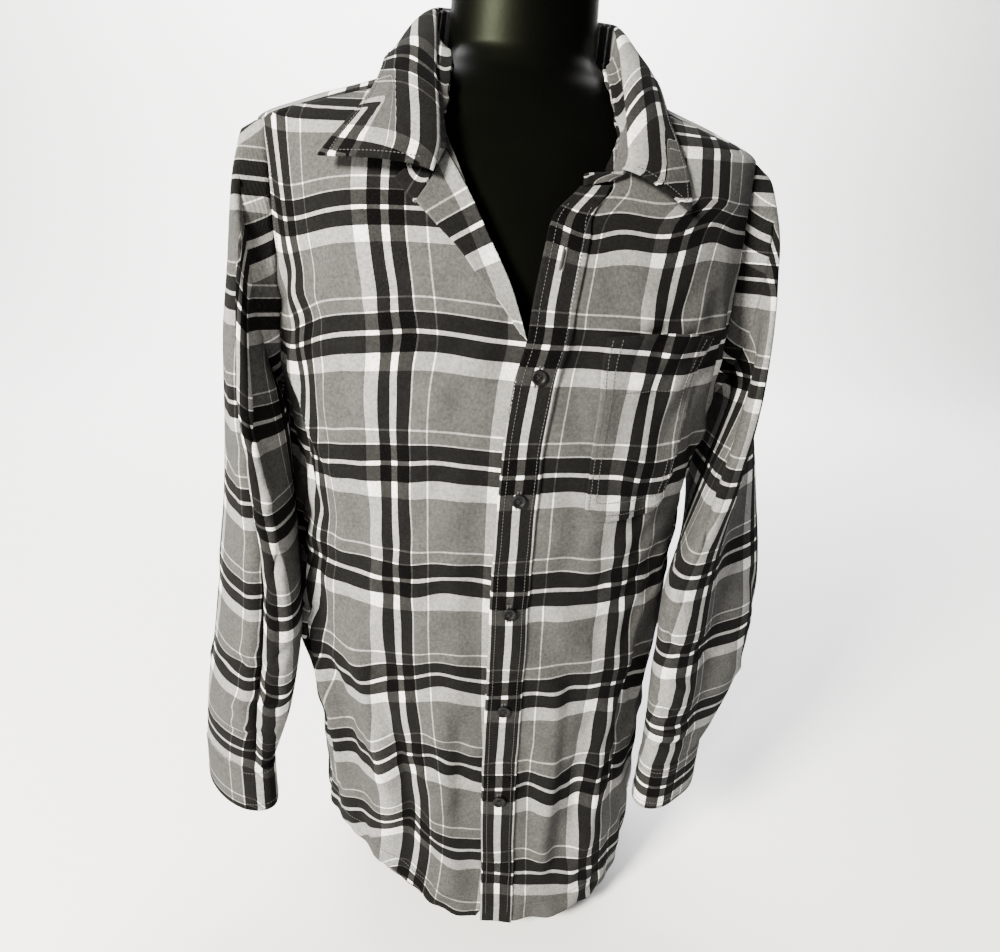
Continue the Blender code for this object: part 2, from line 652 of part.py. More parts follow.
def sleeve(name, rows, side):
    hole, hole_normals, rings = sleeve_rings(rows, side, 24)
    edge = np.roll(hole, -1, axis=0) - np.roll(hole, 1, axis=0)
    into = np.cross(hole_normals, edge)
    into = into / np.linalg.norm(into, axis=1, keepdims=True)
    if np.einsum("ij,ij->", into, hole.mean(axis=0) - hole) < 0:
        into = -into
    first = hole + into * 3 * SEAM
    base = np.concatenate([first[None], rings])
    normals = grid_normals(base, ring=True)
    centre = base.mean(axis=1, keepdims=True)
    if np.einsum("ijk,ijk->", normals, base - centre) < 0:
        normals = -normals
    normals[0] = hole_normals
    normals[-1, :, 2] = 0
    wall(name, base + normals * WALL, base, CLOTH, ring=True)


def cuff(name, rows, side):
    """A band that goes on from the sleeve's last ring and falls straight."""
    _, _, rings = sleeve_rings(rows, side, 24)
    last = rings[-1]
    centre = last.mean(axis=0)
    drop = np.linspace(0, 1, 4)[:, None, None]
    base = centre + (last - centre) * (1 + CUFF_FLARE * drop)
    base[..., 2] = centre[2] - 2 * SEAM - CUFF_HEIGHT * drop[..., 0]
    normals = grid_normals(base, ring=True)
    if np.einsum("ijk,ijk->", normals, base - centre) < 0:
        normals = -normals
    normals[..., 2] = 0
    normals = normals / np.linalg.norm(normals, axis=-1, keepdims=True)
    wall(name, base + normals * DOUBLE_WALL, base, CLOTH, ring=True)
    spot = CUFF_BUTTON_COLUMN
    middle = base[:, spot].mean(axis=0) + normals[1, spot] * (DOUBLE_WALL + SEAM)
    button(name + "_button", middle, normals[1, spot])


def button(name, place, facing):
    """A round black button with a rolled rim, flat on what it is sewn to."""
    sides = 20
    turn = np.linspace(0, 2 * np.pi, sides, endpoint=False)
    circle = np.stack([np.cos(turn), np.sin(turn)], 1)
    profile = (
        (0.86, 0.0),
        (1.00, 0.30),
        (1.00, 0.70),
        (0.86, 1.0),
        (0.62, 0.72),
    )
    helper = np.array([0.0, 0.0, 1.0])
    right = np.cross(helper, facing)
    right = right / np.linalg.norm(right)
    up = np.cross(facing, right)
    rings = []
    for radius, level in profile:
        flat = circle * BUTTON_RADIUS * radius
        rings.append(place + flat[:, :1] * right + flat[:, 1:] * up + facing * BUTTON_THICKNESS * level)
    points = np.concatenate(rings)
    faces = [list(range(sides))[::-1], list(range(len(points) - sides, len(points)))]
    for k in range(len(profile) - 1):
        for j in range(sides):
            low, high = k * sides, (k + 1) * sides
            faces.append([low + j, low + (j + 1) % sides, high + (j + 1) % sides, high + j])
    add_object(name, points, faces, BUTTON_BLACK)


def lapel_lift(rise, part):
    """How far the folded-back edge stands off the chest: most at its free top corner."""
    return (LAPEL_NEAR + LAPEL_LIFT * rise**2) * part**1.5


def band():
    """The buttonhole band, laid on the left front along its edge."""
    heights = np.linspace(HEM_FRONT, NECK[0].height - SEAM, 26)
    width = BAND_WIDTH - BAND_TAPER * np.clip((heights - TAPER_START) / TAPER_LENGTH, 0, 1)
    across = band_edge(heights)[:, None] + width[:, None] * np.linspace(0, 1, 4)
    tall = np.repeat(heights[:, None], 4, 1)
    tall[0] = hem(angle_at(across[0], tall[0]))
    tall[-1] = tall[-1] + BAND_SLANT * np.linspace(0, 1, 4)
    panel("band", angle_at(across, tall), tall, CLOTH, WALL + 2 * SEAM, BAND_WALL)


def band_centre(height):
    return band_edge(height) + BAND_WIDTH / 2


def front_buttons():
    for number, height in enumerate(BUTTON_HEIGHTS, 1):
        spot = np.array([height])
        angle = angle_at(band_centre(spot), spot)
        place, facing = cloth(angle, spot, WALL + BAND_WALL + 4 * SEAM)
        button(f"button_{number}", place[0], facing[0])


def lapel():
    """The right front's edge, folded back above the V and laid on the chest."""
    count = 12
    fold = along(LAPEL_FOLD, count, ("across", "height"))
    edge = along(LAPEL_EDGE, count, ("across", "height"))
    part = np.linspace(0, 1, 4)[None, :, None]
    grid = fold[:, None] * (1 - part) + edge[:, None] * part
    across, height = grid[..., 0], grid[..., 1]
    out = WALL + 2 * SEAM + lapel_lift(np.linspace(0, 1, count)[:, None], np.linspace(0, 1, 4))
    panel("lapel", angle_at(across, height), height, CLOTH, out, LAPEL_WALL)


def pocket():
    """A patch pocket on the wearer's left chest, its mouth standing off a little."""
    steps = np.linspace(0, 1, 9)
    rise = np.linspace(0, 1, 9)[:, None]
    low = POCKET_BOTTOM + POCKET_CORNER * np.abs(2 * steps - 1) ** 6
    top = POCKET_TOP + POCKET_SAG * np.sin(np.pi * steps)
    height = low * (1 - rise) + top * rise
    right = smooth(column(POCKET_SIDE, "height"), column(POCKET_SIDE, "across"), height)
    across = POCKET_LEFT + (right - POCKET_LEFT) * steps
    bulge = POCKET_BULGE * np.sin(np.pi * steps) * rise**3
    panel("pocket", angle_at(across, height), height, CLOTH, WALL + 2 * SEAM + bulge, POCKET_WALL)


def neck_marks(start, end, count):
    """Marks on the neckline, evenly spaced along it, from one angle to another."""
    fine = np.linspace(start, end, 400)
    heights = smooth(-column(NECK, "angle"), column(NECK, "height"), -fine)
    points, _ = cloth(fine, heights)
    steps = np.linalg.norm(np.diff(points, axis=0), axis=1)
    length = np.concatenate([[0], np.cumsum(steps)])
    at = np.linspace(0, length[-1], count)
    return np.stack([np.interp(at, length, fine), np.interp(at, length, heights)], 1)


def collar_stations():
    """Marks round the collar from the leaf's left end to where the right front folds back."""
    left = neck_marks(LEAF_START, YOKE_START, 8)
    behind = neck_marks(YOKE_START, YOKE_END, 23)
    right = neck_marks(YOKE_END, NECK[-1].angle, 7)
    return np.concatenate([left[:-1], behind, right[1:]])


def collar_points(angle, prefix):
    keys = -column(COLLAR, "angle")
    return np.stack([smooth(keys, column(COLLAR, prefix + axis), -angle) for axis in "xyz"], -1)


def stand_grid():
    """Inner face of the collar stand, as rows from the neckline up to the roll line."""
    marks = np.concatenate([neck_marks(NECK[0].angle, LEAF_START, 3)[:2], collar_stations()])
    turned = np.array(STAND_TURNED)
    roll = np.concatenate([collar_points(marks[:, 0], "roll_"), turned[:, 3:]])
    up = np.linspace(0, 1, 4)[:, None, None]
    lift = np.full(len(marks), WALL + SEAT_GAP)
    for _ in range(3):
        seat, panel_normals = cloth(marks[:, 0], marks[:, 1], lift)
        seat = np.concatenate([seat + (0, 0, COLLAR_LIFT), turned[:, :3]])
        base = seat * (1 - up) + roll * up
        normals = outward(base)
        facing = np.einsum("ij,ij->i", normals[0, :-2], panel_normals)
        lift = WALL + SEAT_GAP + DOUBLE_WALL * np.maximum(0, -facing)
    return base, normals


def outward(base):
    """Normals of the collar stand's grid, away from the neck at the back."""
    normals = grid_normals(base)
    middle = base.shape[1] // 2
    if normals[1, middle, 1] < 0:
        normals = -normals
    return normals


def collar():
    """The stand round the neck, and the leaf that folds over its upper edge."""
    base, normals = stand_grid()
    wall("collar_stand", base + normals * DOUBLE_WALL, base, CLOTH)
    ends = np.array([(NECK[-1].angle + LEAF_END) / 2, LEAF_END])
    angle = np.concatenate([collar_stations()[:, 0], ends])
    start = collar_points(angle, "roll_")
    stand_up = base[-1, 2:] - base[0, 2:]
    stand_up = stand_up / np.linalg.norm(stand_up, axis=1, keepdims=True)
    sideways = normals[-1, 2:] * np.clip(1 + 2 * normals[-1, 2:, 2:], 0, 1)
    sideways[-4:] = 0
    start = start + sideways * (DOUBLE_WALL + 3 * SEAM) + stand_up * 3 * SEAM
    edge = collar_points(angle, "edge_")
    part = np.linspace(0, 1, 6)[:, None, None]
    leaf = start * (1 - part) + edge * part
    rounding = np.cross(edge - start, np.gradient(start, axis=0))
    rounding = rounding / np.linalg.norm(rounding, axis=1, keepdims=True)
    if rounding[len(rounding) // 2, 2] < 0:
        rounding = -rounding
    leaf = leaf + rounding * LEAF_BULGE * np.sin(np.pi * part**LEAF_PEAK)
    leaf_normals = outward(leaf)
    wall("collar_leaf", leaf + leaf_normals * DOUBLE_WALL, leaf, CLOTH)


def form():
    """The smooth black torso inside the shirt, with no arms, standing on its flat base."""
    sides = 36
    heights = column(FORM, "height")
    fine = np.unique(np.concatenate([heights, (heights[:-1] + heights[1:]) / 2]))
    angle = np.linspace(0, 360, sides, endpoint=False)
    grid_angle, grid_height = np.meshgrid(angle, fine)
    body, _ = surface(FORM, grid_angle, grid_height)
    top = body[-1].copy()
    middle = top.mean(axis=0)
    crown = middle + (top - middle) * CROWN_SHARE + (0, 0, CROWN_RISE)
    body = np.concatenate([body, crown[None]])
    rows = len(body)
    points = body.reshape(-1, 3)
    grid = np.arange(rows * sides).reshape(rows, sides)
    grid = np.concatenate([grid, grid[:, :1]], 1)
    quads = np.stack([grid[:-1, :-1], grid[:-1, 1:], grid[1:, 1:], grid[1:, :-1]], -1).reshape(-1, 4)
    first = points[quads[:, 0]]
    facing = np.cross(points[quads[:, 1]] - first, points[quads[:, 2]] - first)
    if np.einsum("ij,ij->", facing, first - body.mean(axis=(0, 1))) < 0:
        quads = quads[:, ::-1]
        caps = [list(range(sides)), list(range(len(points) - sides, len(points)))[::-1]]
    else:
        caps = [list(range(sides))[::-1], list(range(len(points) - sides, len(points)))]
    add_object("form", points, quads.tolist() + caps, FORM_BLACK)


def main():
    for thing in list(bpy.data.objects):
        bpy.data.objects.remove(thing, do_unlink=True)
    form()
    body_panels()
    sleeve("sleeve_left", SLEEVE_LEFT, 1)
    sleeve("sleeve_right", SLEEVE_RIGHT, -1)
    cuff("cuff_left", SLEEVE_LEFT, 1)
    cuff("cuff_right", SLEEVE_RIGHT, -1)
    band()
    lapel()
    pocket()
    collar()
    front_buttons()


main()
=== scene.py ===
"""The looks of a plaid flannel shirt worn by a limbless dress form.

Metres, +Z up, -Y the front, +X the wearer's left. Every sheet of cloth is a thin
shell on the form of its solid: the torso is one smooth surface with an angle round
it (0 the wearer's left side, 90 the front, -90 the back) and a height, and a sheet
is a fine patch of it. Each sheet's UV map holds its place in the weave, in
repeats of the plaid: U across the warp and V down the weft.
"""

from collections import namedtuple

import bpy
import numpy as np
from mathutils import Matrix, Vector


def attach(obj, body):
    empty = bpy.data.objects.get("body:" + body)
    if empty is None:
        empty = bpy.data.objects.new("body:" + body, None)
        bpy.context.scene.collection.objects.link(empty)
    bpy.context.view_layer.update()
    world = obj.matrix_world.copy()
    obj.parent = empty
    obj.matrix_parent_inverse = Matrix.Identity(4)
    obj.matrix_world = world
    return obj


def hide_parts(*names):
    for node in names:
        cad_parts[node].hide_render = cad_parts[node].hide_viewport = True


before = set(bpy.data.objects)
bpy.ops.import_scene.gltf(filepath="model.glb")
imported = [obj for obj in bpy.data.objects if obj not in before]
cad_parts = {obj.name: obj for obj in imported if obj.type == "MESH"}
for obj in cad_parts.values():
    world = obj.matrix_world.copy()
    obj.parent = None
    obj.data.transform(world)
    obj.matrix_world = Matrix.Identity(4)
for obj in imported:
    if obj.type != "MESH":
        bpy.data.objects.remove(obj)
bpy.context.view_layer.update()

# ---------------------------------------------------------------- sizes and places

# steps of each solid's grid along its edges, and of its sheet's grid for each of them
STEPS = {
    "side": 11, "armhole": 7, "armhole_top": 6, "back": 20, "yoke": 7, "yoke_back": 12,
    "left_neck": 6, "left_shoulder": 8, "right_neck": 5, "right_shoulder": 9,
    "band": 25, "band_width": 3, "lapel": 11, "lapel_width": 3, "pocket": 8, "sleeve": 23, "cuff": 3,
    "collar_left": 7, "collar_back": 22, "collar_right": 6, "stand": 3, "stand_end": 2, "leaf": 5,
}
FINE = 7
NECK_SAMPLES = 1200  # steps along the neckline, to measure it

WALL, DOUBLE_WALL = 0.0016, 0.0024  # one layer, and the two of the collar and cuffs
BAND_WALL = LAPEL_WALL = POCKET_WALL = 0.0014
SEAM = 0.0003  # what a piece leaves free where it is sewn to another
HEM_CLEARANCE = 0.022  # the heights below count from this far above the ground
HEM_FRONT, HEM_SIDE = 0.006, 0.085
ARMPIT = 0.510
V_BOTTOM = 0.565
YOKE_BACK = 0.632  # the seam across the shoulder blades

BAND_WIDTH = 0.029
BAND_TAPER = 0.008  # what the band loses in width beside the neck
TAPER_START, TAPER_LENGTH = 0.635, 0.03
BAND_SLANT = 0.002
UNDERLAP = 0.008  # how far the right front reaches past the band's middle
UNDER_BAND, UNDER_BAND_SPAN = 0.030, 0.022  # where it starts to dip under the band, and over how much
HEM_CUTAWAY, CUTAWAY_HEIGHT = 0.030, 0.10  # the right front's lowest corner is cut away
V_TURN_BELOW, V_TURN_SPAN = 0.020, 0.024  # where its edge turns from the underlap to the lapel's fold
LAPEL_NEAR, LAPEL_LIFT = 0.0012, 0.0048  # how far its edge stands off the chest, at its foot and above

POCKET_LEFT = 0.052
POCKET_TOP, POCKET_BOTTOM = 0.570, 0.430
POCKET_CORNER = 0.010
POCKET_SAG = 0.003
POCKET_GAPE = 0.0065  # how far its mouth stands open
POCKET_PUCKER = 0.0009  # the gathers along its seams
POCKET_HEM = 0.71  # of the way up it, the stitching under its folded mouth
POCKET_SEAMS = (("outer", 2), ("inner", 6))  # two rows of stitching, in grid rows from its edge

CUFF_HEIGHT, CUFF_FLARE = 0.050, 0.03
CUFF_BUTTON_PHASE = 17 / 20  # of the way round the cuff
COLLAR_LIFT, SEAT_GAP = 0.0010, 0.0010  # the stand's foot is this far above the neckline, and off the panels
LEAF_BULGE = 0.005

BUTTON_HEIGHTS = (0.542, 0.449, 0.353, 0.258, 0.160)
BUTTON_RADIUS, BUTTON_THICKNESS = 0.0056, 0.0026

FOLD_RADIUS = 0.15  # turns an angle round the body into a length
FOLD_END, FOLD_SPAN = 0.12, 0.76  # a fold is the middle of half a sine, from here and over so much of it
FOLDS_STOP, FOLDS_FADE = 0.640, 0.06  # the folds fade away below this height
CREASE_DEPTH = 1.6  # times the rise in the table of creases
RUMPLE = 0.0019  # the most that the cloth waves between its folds
UPRIGHT_WAVE, LEVEL_WAVE, SLANT_WAVE = 0.058, 0.096, 0.031  # from crest to crest
WANDER_UP, WANDER_ROUND = 0.190, 0.143  # from crest to crest of the slow waves that bend them

# level sections, from the hem up: rounded ovals, whose middle is shifted to the wearer's left
Section = namedtuple("Section", "height half_width front back shift squareness")
TORSO = (
    Section(-0.022, 0.159, 0.141, 0.122, 0.007, 2.6),
    Section(0.100, 0.160, 0.142, 0.124, 0.006, 2.5),
    Section(0.190, 0.163, 0.143, 0.125, 0.002, 2.4),
    Section(0.250, 0.169, 0.144, 0.126, -0.002, 2.3),
    Section(0.295, 0.176, 0.145, 0.126, -0.004, 2.3),
    Section(0.360, 0.178, 0.146, 0.127, -0.004, 2.3),
    Section(0.430, 0.179, 0.147, 0.127, -0.002, 2.3),
    Section(0.500, 0.184, 0.148, 0.127, 0.000, 2.3),
    Section(0.560, 0.190, 0.147, 0.126, 0.000, 2.3),
    Section(0.605, 0.193, 0.138, 0.124, 0.000, 2.3),
    Section(0.665, 0.197, 0.112, 0.116, 0.000, 2.3),
    Section(0.700, 0.200, 0.088, 0.102, 0.000, 2.3),
    Section(0.717, 0.165, 0.076, 0.095, 0.000, 2.3),
    Section(0.731, 0.122, 0.068, 0.089, 0.000, 2.3),
    Section(0.744, 0.088, 0.062, 0.083, 0.000, 2.2),
    Section(0.760, 0.067, 0.056, 0.076, 0.000, 2.0),
    Section(0.900, 0.060, 0.056, 0.076, 0.000, 2.0),
)

FORM = (
    Section(-0.022, 0.112, 0.086, 0.084, 0.000, 2.2),
    Section(0.010, 0.122, 0.094, 0.092, 0.000, 2.2),
    Section(0.120, 0.134, 0.108, 0.104, 0.000, 2.2),
    Section(0.240, 0.128, 0.106, 0.100, 0.000, 2.2),
    Section(0.340, 0.134, 0.112, 0.102, 0.000, 2.2),
    Section(0.460, 0.158, 0.130, 0.112, 0.000, 2.2),
    Section(0.545, 0.166, 0.136, 0.114, 0.000, 2.2),
    Section(0.605, 0.169, 0.125, 0.112, 0.000, 2.2),
    Section(0.660, 0.176, 0.101, 0.104, 0.000, 2.2),
    Section(0.693, 0.176, 0.084, 0.096, 0.000, 2.2),
    Section(0.710, 0.160, 0.074, 0.090, 0.000, 2.2),
    Section(0.7232, 0.136, 0.067, 0.086, 0.000, 2.2),
    Section(0.7362, 0.102, 0.060, 0.080, 0.000, 2.2),
    Section(0.750, 0.073, 0.052, 0.072, 0.000, 2.1),
    Section(0.765, 0.058, 0.048, 0.066, 0.000, 2.0),
    Section(0.840, 0.055, 0.050, 0.058, 0.000, 2.0),
)

# folds from one angle and height to another, this wide, which stand out by their rise
Fold = namedtuple("Fold", "angle_1 height_1 angle_2 height_2 width rise")
FOLDS = (
    Fold(76, 0.270, 78, 0.060, 0.013, 0.0060),
    Fold(66, 0.240, 70, 0.040, 0.014, -0.0045),
    Fold(52, 0.300, 60, 0.060, 0.016, 0.0045),
    Fold(38, 0.330, 44, 0.080, 0.018, -0.0040),
    Fold(103, 0.330, 101, 0.050, 0.014, 0.0045),
    Fold(116, 0.300, 112, 0.040, 0.016, -0.0045),
    Fold(128, 0.330, 124, 0.050, 0.014, 0.0055),
    Fold(141, 0.310, 134, 0.080, 0.013, -0.0045),
    Fold(150, 0.360, 146, 0.100, 0.013, 0.0055),
    Fold(163, 0.480, 158, 0.340, 0.027, -0.0080),
    Fold(17, 0.480, 24, 0.350, 0.027, -0.0070),
    Fold(150, 0.560, 128, 0.440, 0.020, 0.0035),
    Fold(30, 0.560, 52, 0.450, 0.020, 0.0035),
    Fold(158, 0.600, 148, 0.520, 0.016, -0.0035),
    Fold(24, 0.600, 34, 0.520, 0.016, -0.0035),
    Fold(-28, 0.520, -48, 0.330, 0.022, 0.0050),
    Fold(-152, 0.520, -132, 0.330, 0.022, 0.0050),
    Fold(-60, 0.360, -64, 0.060, 0.020, 0.0050),
    Fold(-84, 0.400, -82, 0.060, 0.022, -0.0045),
    Fold(-104, 0.340, -108, 0.060, 0.020, 0.0050),
    Fold(-128, 0.360, -124, 0.080, 0.022, -0.0045),
)

# narrower creases that only the cloth's own surface has
CREASES = (
    Fold(173, 0.520, 171, 0.370, 0.014, 0.0028),
    Fold(161, 0.505, 143, 0.415, 0.006, -0.0030),
    Fold(156, 0.520, 134, 0.450, 0.006, 0.0020),
    Fold(166, 0.440, 150, 0.385, 0.006, 0.0022),
    Fold(170, 0.400, 157, 0.335, 0.006, -0.0030),
    Fold(153, 0.345, 150, 0.130, 0.006, -0.0062),
    Fold(147, 0.345, 144, 0.130, 0.006, 0.0034),
    Fold(159, 0.320, 156, 0.150, 0.008, 0.0030),
    Fold(166, 0.300, 144, 0.325, 0.005, -0.0026),
    Fold(128, 0.255, 119, 0.130, 0.008, 0.0028),
    Fold(121, 0.250, 113, 0.120, 0.006, -0.0026),
    Fold(110, 0.215, 103, 0.090, 0.007, 0.0026),
    Fold(99, 0.250, 98, 0.110, 0.006, -0.0022),
    Fold(118, 0.570, 103, 0.505, 0.009, 0.0016),
    Fold(131, 0.590, 117, 0.600, 0.010, -0.0014),
    Fold(84, 0.250, 82, 0.085, 0.006, -0.0024),
    Fold(72, 0.270, 74, 0.060, 0.007, -0.0026),
    Fold(57, 0.290, 62, 0.080, 0.007, 0.0024),
    Fold(44, 0.330, 49, 0.120, 0.007, -0.0026),
    Fold(33, 0.360, 37, 0.160, 0.008, 0.0026),
    Fold(19, 0.505, 36, 0.425, 0.006, -0.0030),
    Fold(25, 0.520, 43, 0.455, 0.006, 0.0022),
    Fold(14, 0.430, 30, 0.370, 0.006, 0.0024),
    Fold(56, 0.600, 70, 0.540, 0.010, -0.0014),
    Fold(10, 0.400, 22, 0.320, 0.007, -0.0026),
    Fold(-20, 0.505, -42, 0.400, 0.007, -0.0028),
    Fold(-26, 0.560, -52, 0.500, 0.009, 0.0018),
    Fold(-14, 0.420, -30, 0.330, 0.007, 0.0024),
    Fold(-160, 0.505, -138, 0.400, 0.007, -0.0028),
    Fold(-154, 0.560, -128, 0.500, 0.009, 0.0018),
    Fold(-166, 0.420, -150, 0.330, 0.007, 0.0024),
    Fold(-45, 0.330, -48, 0.090, 0.008, -0.0028),
    Fold(-72, 0.360, -74, 0.070, 0.008, 0.0024),
    Fold(-95, 0.330, -97, 0.060, 0.008, 0.0022),
    Fold(-116, 0.360, -117, 0.080, 0.008, -0.0026),
    Fold(-140, 0.320, -138, 0.090, 0.008, 0.0026),
    Fold(-70, 0.600, -88, 0.560, 0.010, 0.0014),
    Fold(-112, 0.600, -96, 0.550, 0.010, 0.0012),
)

# where the worn cloth is drawn sideways or down: middle, reach round and up the body, and how far
Pull = namedtuple("Pull", "angle height wide tall across down")
PULLS_RIGHT = (
    Pull(148, 0.645, 16, 0.045, 0.000, 0.014),
    Pull(118, 0.650, 30, 0.070, -0.013, 0.000),
    Pull(156, 0.560, 18, 0.050, 0.000, 0.024),
    Pull(108, 0.560, 12, 0.060, 0.000, -0.006),
    Pull(150, 0.470, 18, 0.040, 0.000, 0.010),
    Pull(104, 0.465, 12, 0.040, 0.000, -0.005),
    Pull(152, 0.420, 24, 0.170, 0.045, 0.000),
    Pull(101, 0.375, 7, 0.030, 0.000, -0.007),
    Pull(115, 0.360, 26, 0.120, 0.009, 0.000),
    Pull(102, 0.285, 8, 0.035, 0.000, -0.013),
    Pull(130, 0.275, 14, 0.030, 0.000, 0.009),
    Pull(106, 0.200, 9, 0.050, 0.000, -0.020),
    Pull(112, 0.130, 24, 0.130, 0.029, 0.000),
    Pull(117, 0.050, 14, 0.095, 0.000, -0.058),
    Pull(138, 0.115, 12, 0.040, 0.000, -0.014),
    Pull(130, 0.712, 40, 0.035, 0.000, 0.0155),
)
PULLS_LEFT = (
    Pull(82, 0.633, 6, 0.030, 0.000, 0.012),
    Pull(66, 0.640, 10, 0.040, 0.000, 0.008),
    Pull(48, 0.650, 8, 0.030, 0.000, -0.006),
    Pull(62, 0.600, 20, 0.100, -0.014, 0.000),
    Pull(55, 0.555, 14, 0.040, 0.000, 0.005),
    Pull(57, 0.463, 8, 0.030, 0.000, 0.006),
    Pull(62, 0.450, 18, 0.060, -0.007, 0.000),
    Pull(82, 0.420, 10, 0.070, 0.000, -0.005),
    Pull(38, 0.220, 16, 0.090, 0.000, 0.018),
    Pull(72, 0.165, 6, 0.030, 0.000, 0.007),
    Pull(58, 0.120, 18, 0.090, -0.010, 0.000),
    Pull(50, 0.030, 34, 0.120, 0.000, 0.034),
    Pull(50, 0.712, 40, 0.035, 0.000, 0.009),
)
DRIFT_RIGHT, DRIFT_LEFT = 1.035, 1.0  # below the V the weft bands lie this much closer together
CHEST_DRIFT = 1.13  # and above it this much

# marks on the torso: degrees round it and metres up it
Mark = namedtuple("Mark", "angle height")
ARMHOLE_FRONT = (
    Mark(0, ARMPIT),
    Mark(7, 0.514),
    Mark(14, 0.530),
    Mark(19, 0.558),
    Mark(20.5, 0.600),
    Mark(20.5, 0.648),
    Mark(19, 0.700),
)
ARMHOLE_TOP = (
    Mark(19, 0.700),
    Mark(0, 0.7015),
    Mark(-19, 0.700),
    Mark(-20, 0.665),
    Mark(-20, YOKE_BACK),
)
ARMHOLE_BACK = (
    Mark(-20, YOKE_BACK),
    Mark(-19.5, 0.590),
    Mark(-17, 0.552),
    Mark(-12, 0.526),
    Mark(-6, 0.513),
    Mark(0, ARMPIT),
)
NECK = (
    Mark(82.5, 0.6665),
    Mark(77.3, 0.672),
    Mark(75.8, 0.686),
    Mark(75.0, 0.700),
    Mark(72.8, 0.715),
    Mark(65.6, 0.730),
    Mark(52.6, 0.744),
    Mark(38, 0.753),
    Mark(10, 0.757),
    Mark(-30, 0.758),
    Mark(-90, 0.759),
    Mark(-150, 0.758),
    Mark(-190, 0.757),
    Mark(-218, 0.753),
    Mark(-232.6, 0.744),
    Mark(-245.6, 0.730),
    Mark(-252.8, 0.715),
    Mark(-255.0, 0.700),
    Mark(-255.3, 0.684),
)
YOKE_START, YOKE_END = 60, -240  # its front seams' angles at the neck
YOKE_FAN = (60, 42, 18, -8, -28, -40, -50)  # angles at the neck, of lines evenly spaced along the armhole

# edges on the front of the torso: at a height, x to the wearer's left
Edge = namedtuple("Edge", "height across")
BAND_EDGE = (
    Edge(0.000, -0.001),
    Edge(0.073, -0.004),
    Edge(0.137, -0.008),
    Edge(0.210, -0.011),
    Edge(0.300, -0.013),
    Edge(0.380, -0.015),
    Edge(0.480, -0.014),
    Edge(0.530, -0.010),
    Edge(0.565, -0.003),
    Edge(0.595, 0.001),
    Edge(0.628, 0.0075),
    Edge(0.645, 0.012),
    Edge(0.6665, 0.032),
)
POCKET_SIDE = (
    Edge(0.430, 0.118),
    Edge(0.500, 0.127),
    Edge(0.540, 0.133),
    Edge(0.575, 0.145),
)
LAPEL_FOLD = (
    Edge(0.565, -0.0035),
    Edge(0.600, -0.016),
    Edge(0.633, -0.033),
    Edge(0.655, -0.044),
    Edge(0.682, -0.0605),
)
LAPEL_EDGE = (
    Edge(0.568, -0.0065),
    Edge(0.587, -0.021),
    Edge(0.603, -0.036),
    Edge(0.620, -0.050),
    Edge(0.631, -0.062),
    Edge(0.6465, -0.0785),
)

# a shirt-tail, cut away at the wearer's right front
HEM = (
    Mark(-90, 0.006),
    Mark(-60, 0.014),
    Mark(-30, 0.050),
    Mark(0, HEM_SIDE),
    Mark(16, 0.060),
    Mark(32, 0.022),
    Mark(50, 0.004),
    Mark(70, 0.001),
    Mark(90, HEM_FRONT),
    Mark(101, 0.023),
    Mark(112, 0.047),
    Mark(124, 0.070),
    Mark(142, 0.084),
    Mark(180, HEM_SIDE),
    Mark(210, 0.050),
    Mark(240, 0.014),
    Mark(270, 0.006),
)

# points of the collar's roll line and of its leaf's edge, at angles round the neck
Collar = namedtuple("Collar", "angle roll_x roll_y roll_z edge_x edge_y edge_z")
COLLAR = (
    Collar(82.5, 0.0335, -0.1130, 0.6750, 0.0335, -0.1130, 0.6750),
    Collar(77.3, 0.0610, -0.1075, 0.6800, 0.1125, -0.1080, 0.6575),
    Collar(75.8, 0.0660, -0.1010, 0.6900, 0.1145, -0.1000, 0.6680),
    Collar(75.0, 0.0668, -0.0915, 0.7025, 0.1130, -0.0920, 0.6820),
    Collar(72.8, 0.0670, -0.0805, 0.7185, 0.1070, -0.0830, 0.7000),
    Collar(65.6, 0.0675, -0.0665, 0.7340, 0.1020, -0.0710, 0.7160),
    Collar(52.6, 0.0685, -0.0490, 0.7515, 0.1005, -0.0540, 0.7330),
    Collar(38, 0.0700, -0.0300, 0.7680, 0.1005, -0.0300, 0.7480),
    Collar(10, 0.0705, 0.0060, 0.7910, 0.1000, 0.0200, 0.7550),
    Collar(-45, 0.0460, 0.0600, 0.8040, 0.0760, 0.0920, 0.7500),
    Collar(-90, 0.0000, 0.0730, 0.8040, 0.0000, 0.1100, 0.7480),
    Collar(-135, -0.0440, 0.0590, 0.8020, -0.0730, 0.0920, 0.7500),
    Collar(-190, -0.0660, 0.0060, 0.7880, -0.1000, 0.0200, 0.7540),
    Collar(-218, -0.0680, -0.0300, 0.7650, -0.1030, -0.0260, 0.7480),
    Collar(-232.6, -0.0685, -0.0490, 0.7500, -0.1060, -0.0520, 0.7340),
    Collar(-245.6, -0.0684, -0.0665, 0.7350, -0.1130, -0.0640, 0.7180),
    Collar(-252.8, -0.0676, -0.0810, 0.7210, -0.1210, -0.0720, 0.7060),
    Collar(-255.0, -0.0665, -0.0930, 0.7060, -0.1300, -0.0800, 0.6950),
    Collar(-255.3, -0.0662, -0.1070, 0.6885, -0.1390, -0.0900, 0.6830),
    Collar(-256.0, -0.0702, -0.1200, 0.6690, -0.1450, -0.0980, 0.6740),
)
LEAF_START, LEAF_END = 77.3, -256.0
# the stand's turned-out right end: a foot and a rim point of each of two upright lines
STAND_TURNED = (
    (-0.0722, -0.1150, 0.6660, -0.0800, -0.1085, 0.6770),
    (-0.0808, -0.1220, 0.6500, -0.0940, -0.1150, 0.6640),
)

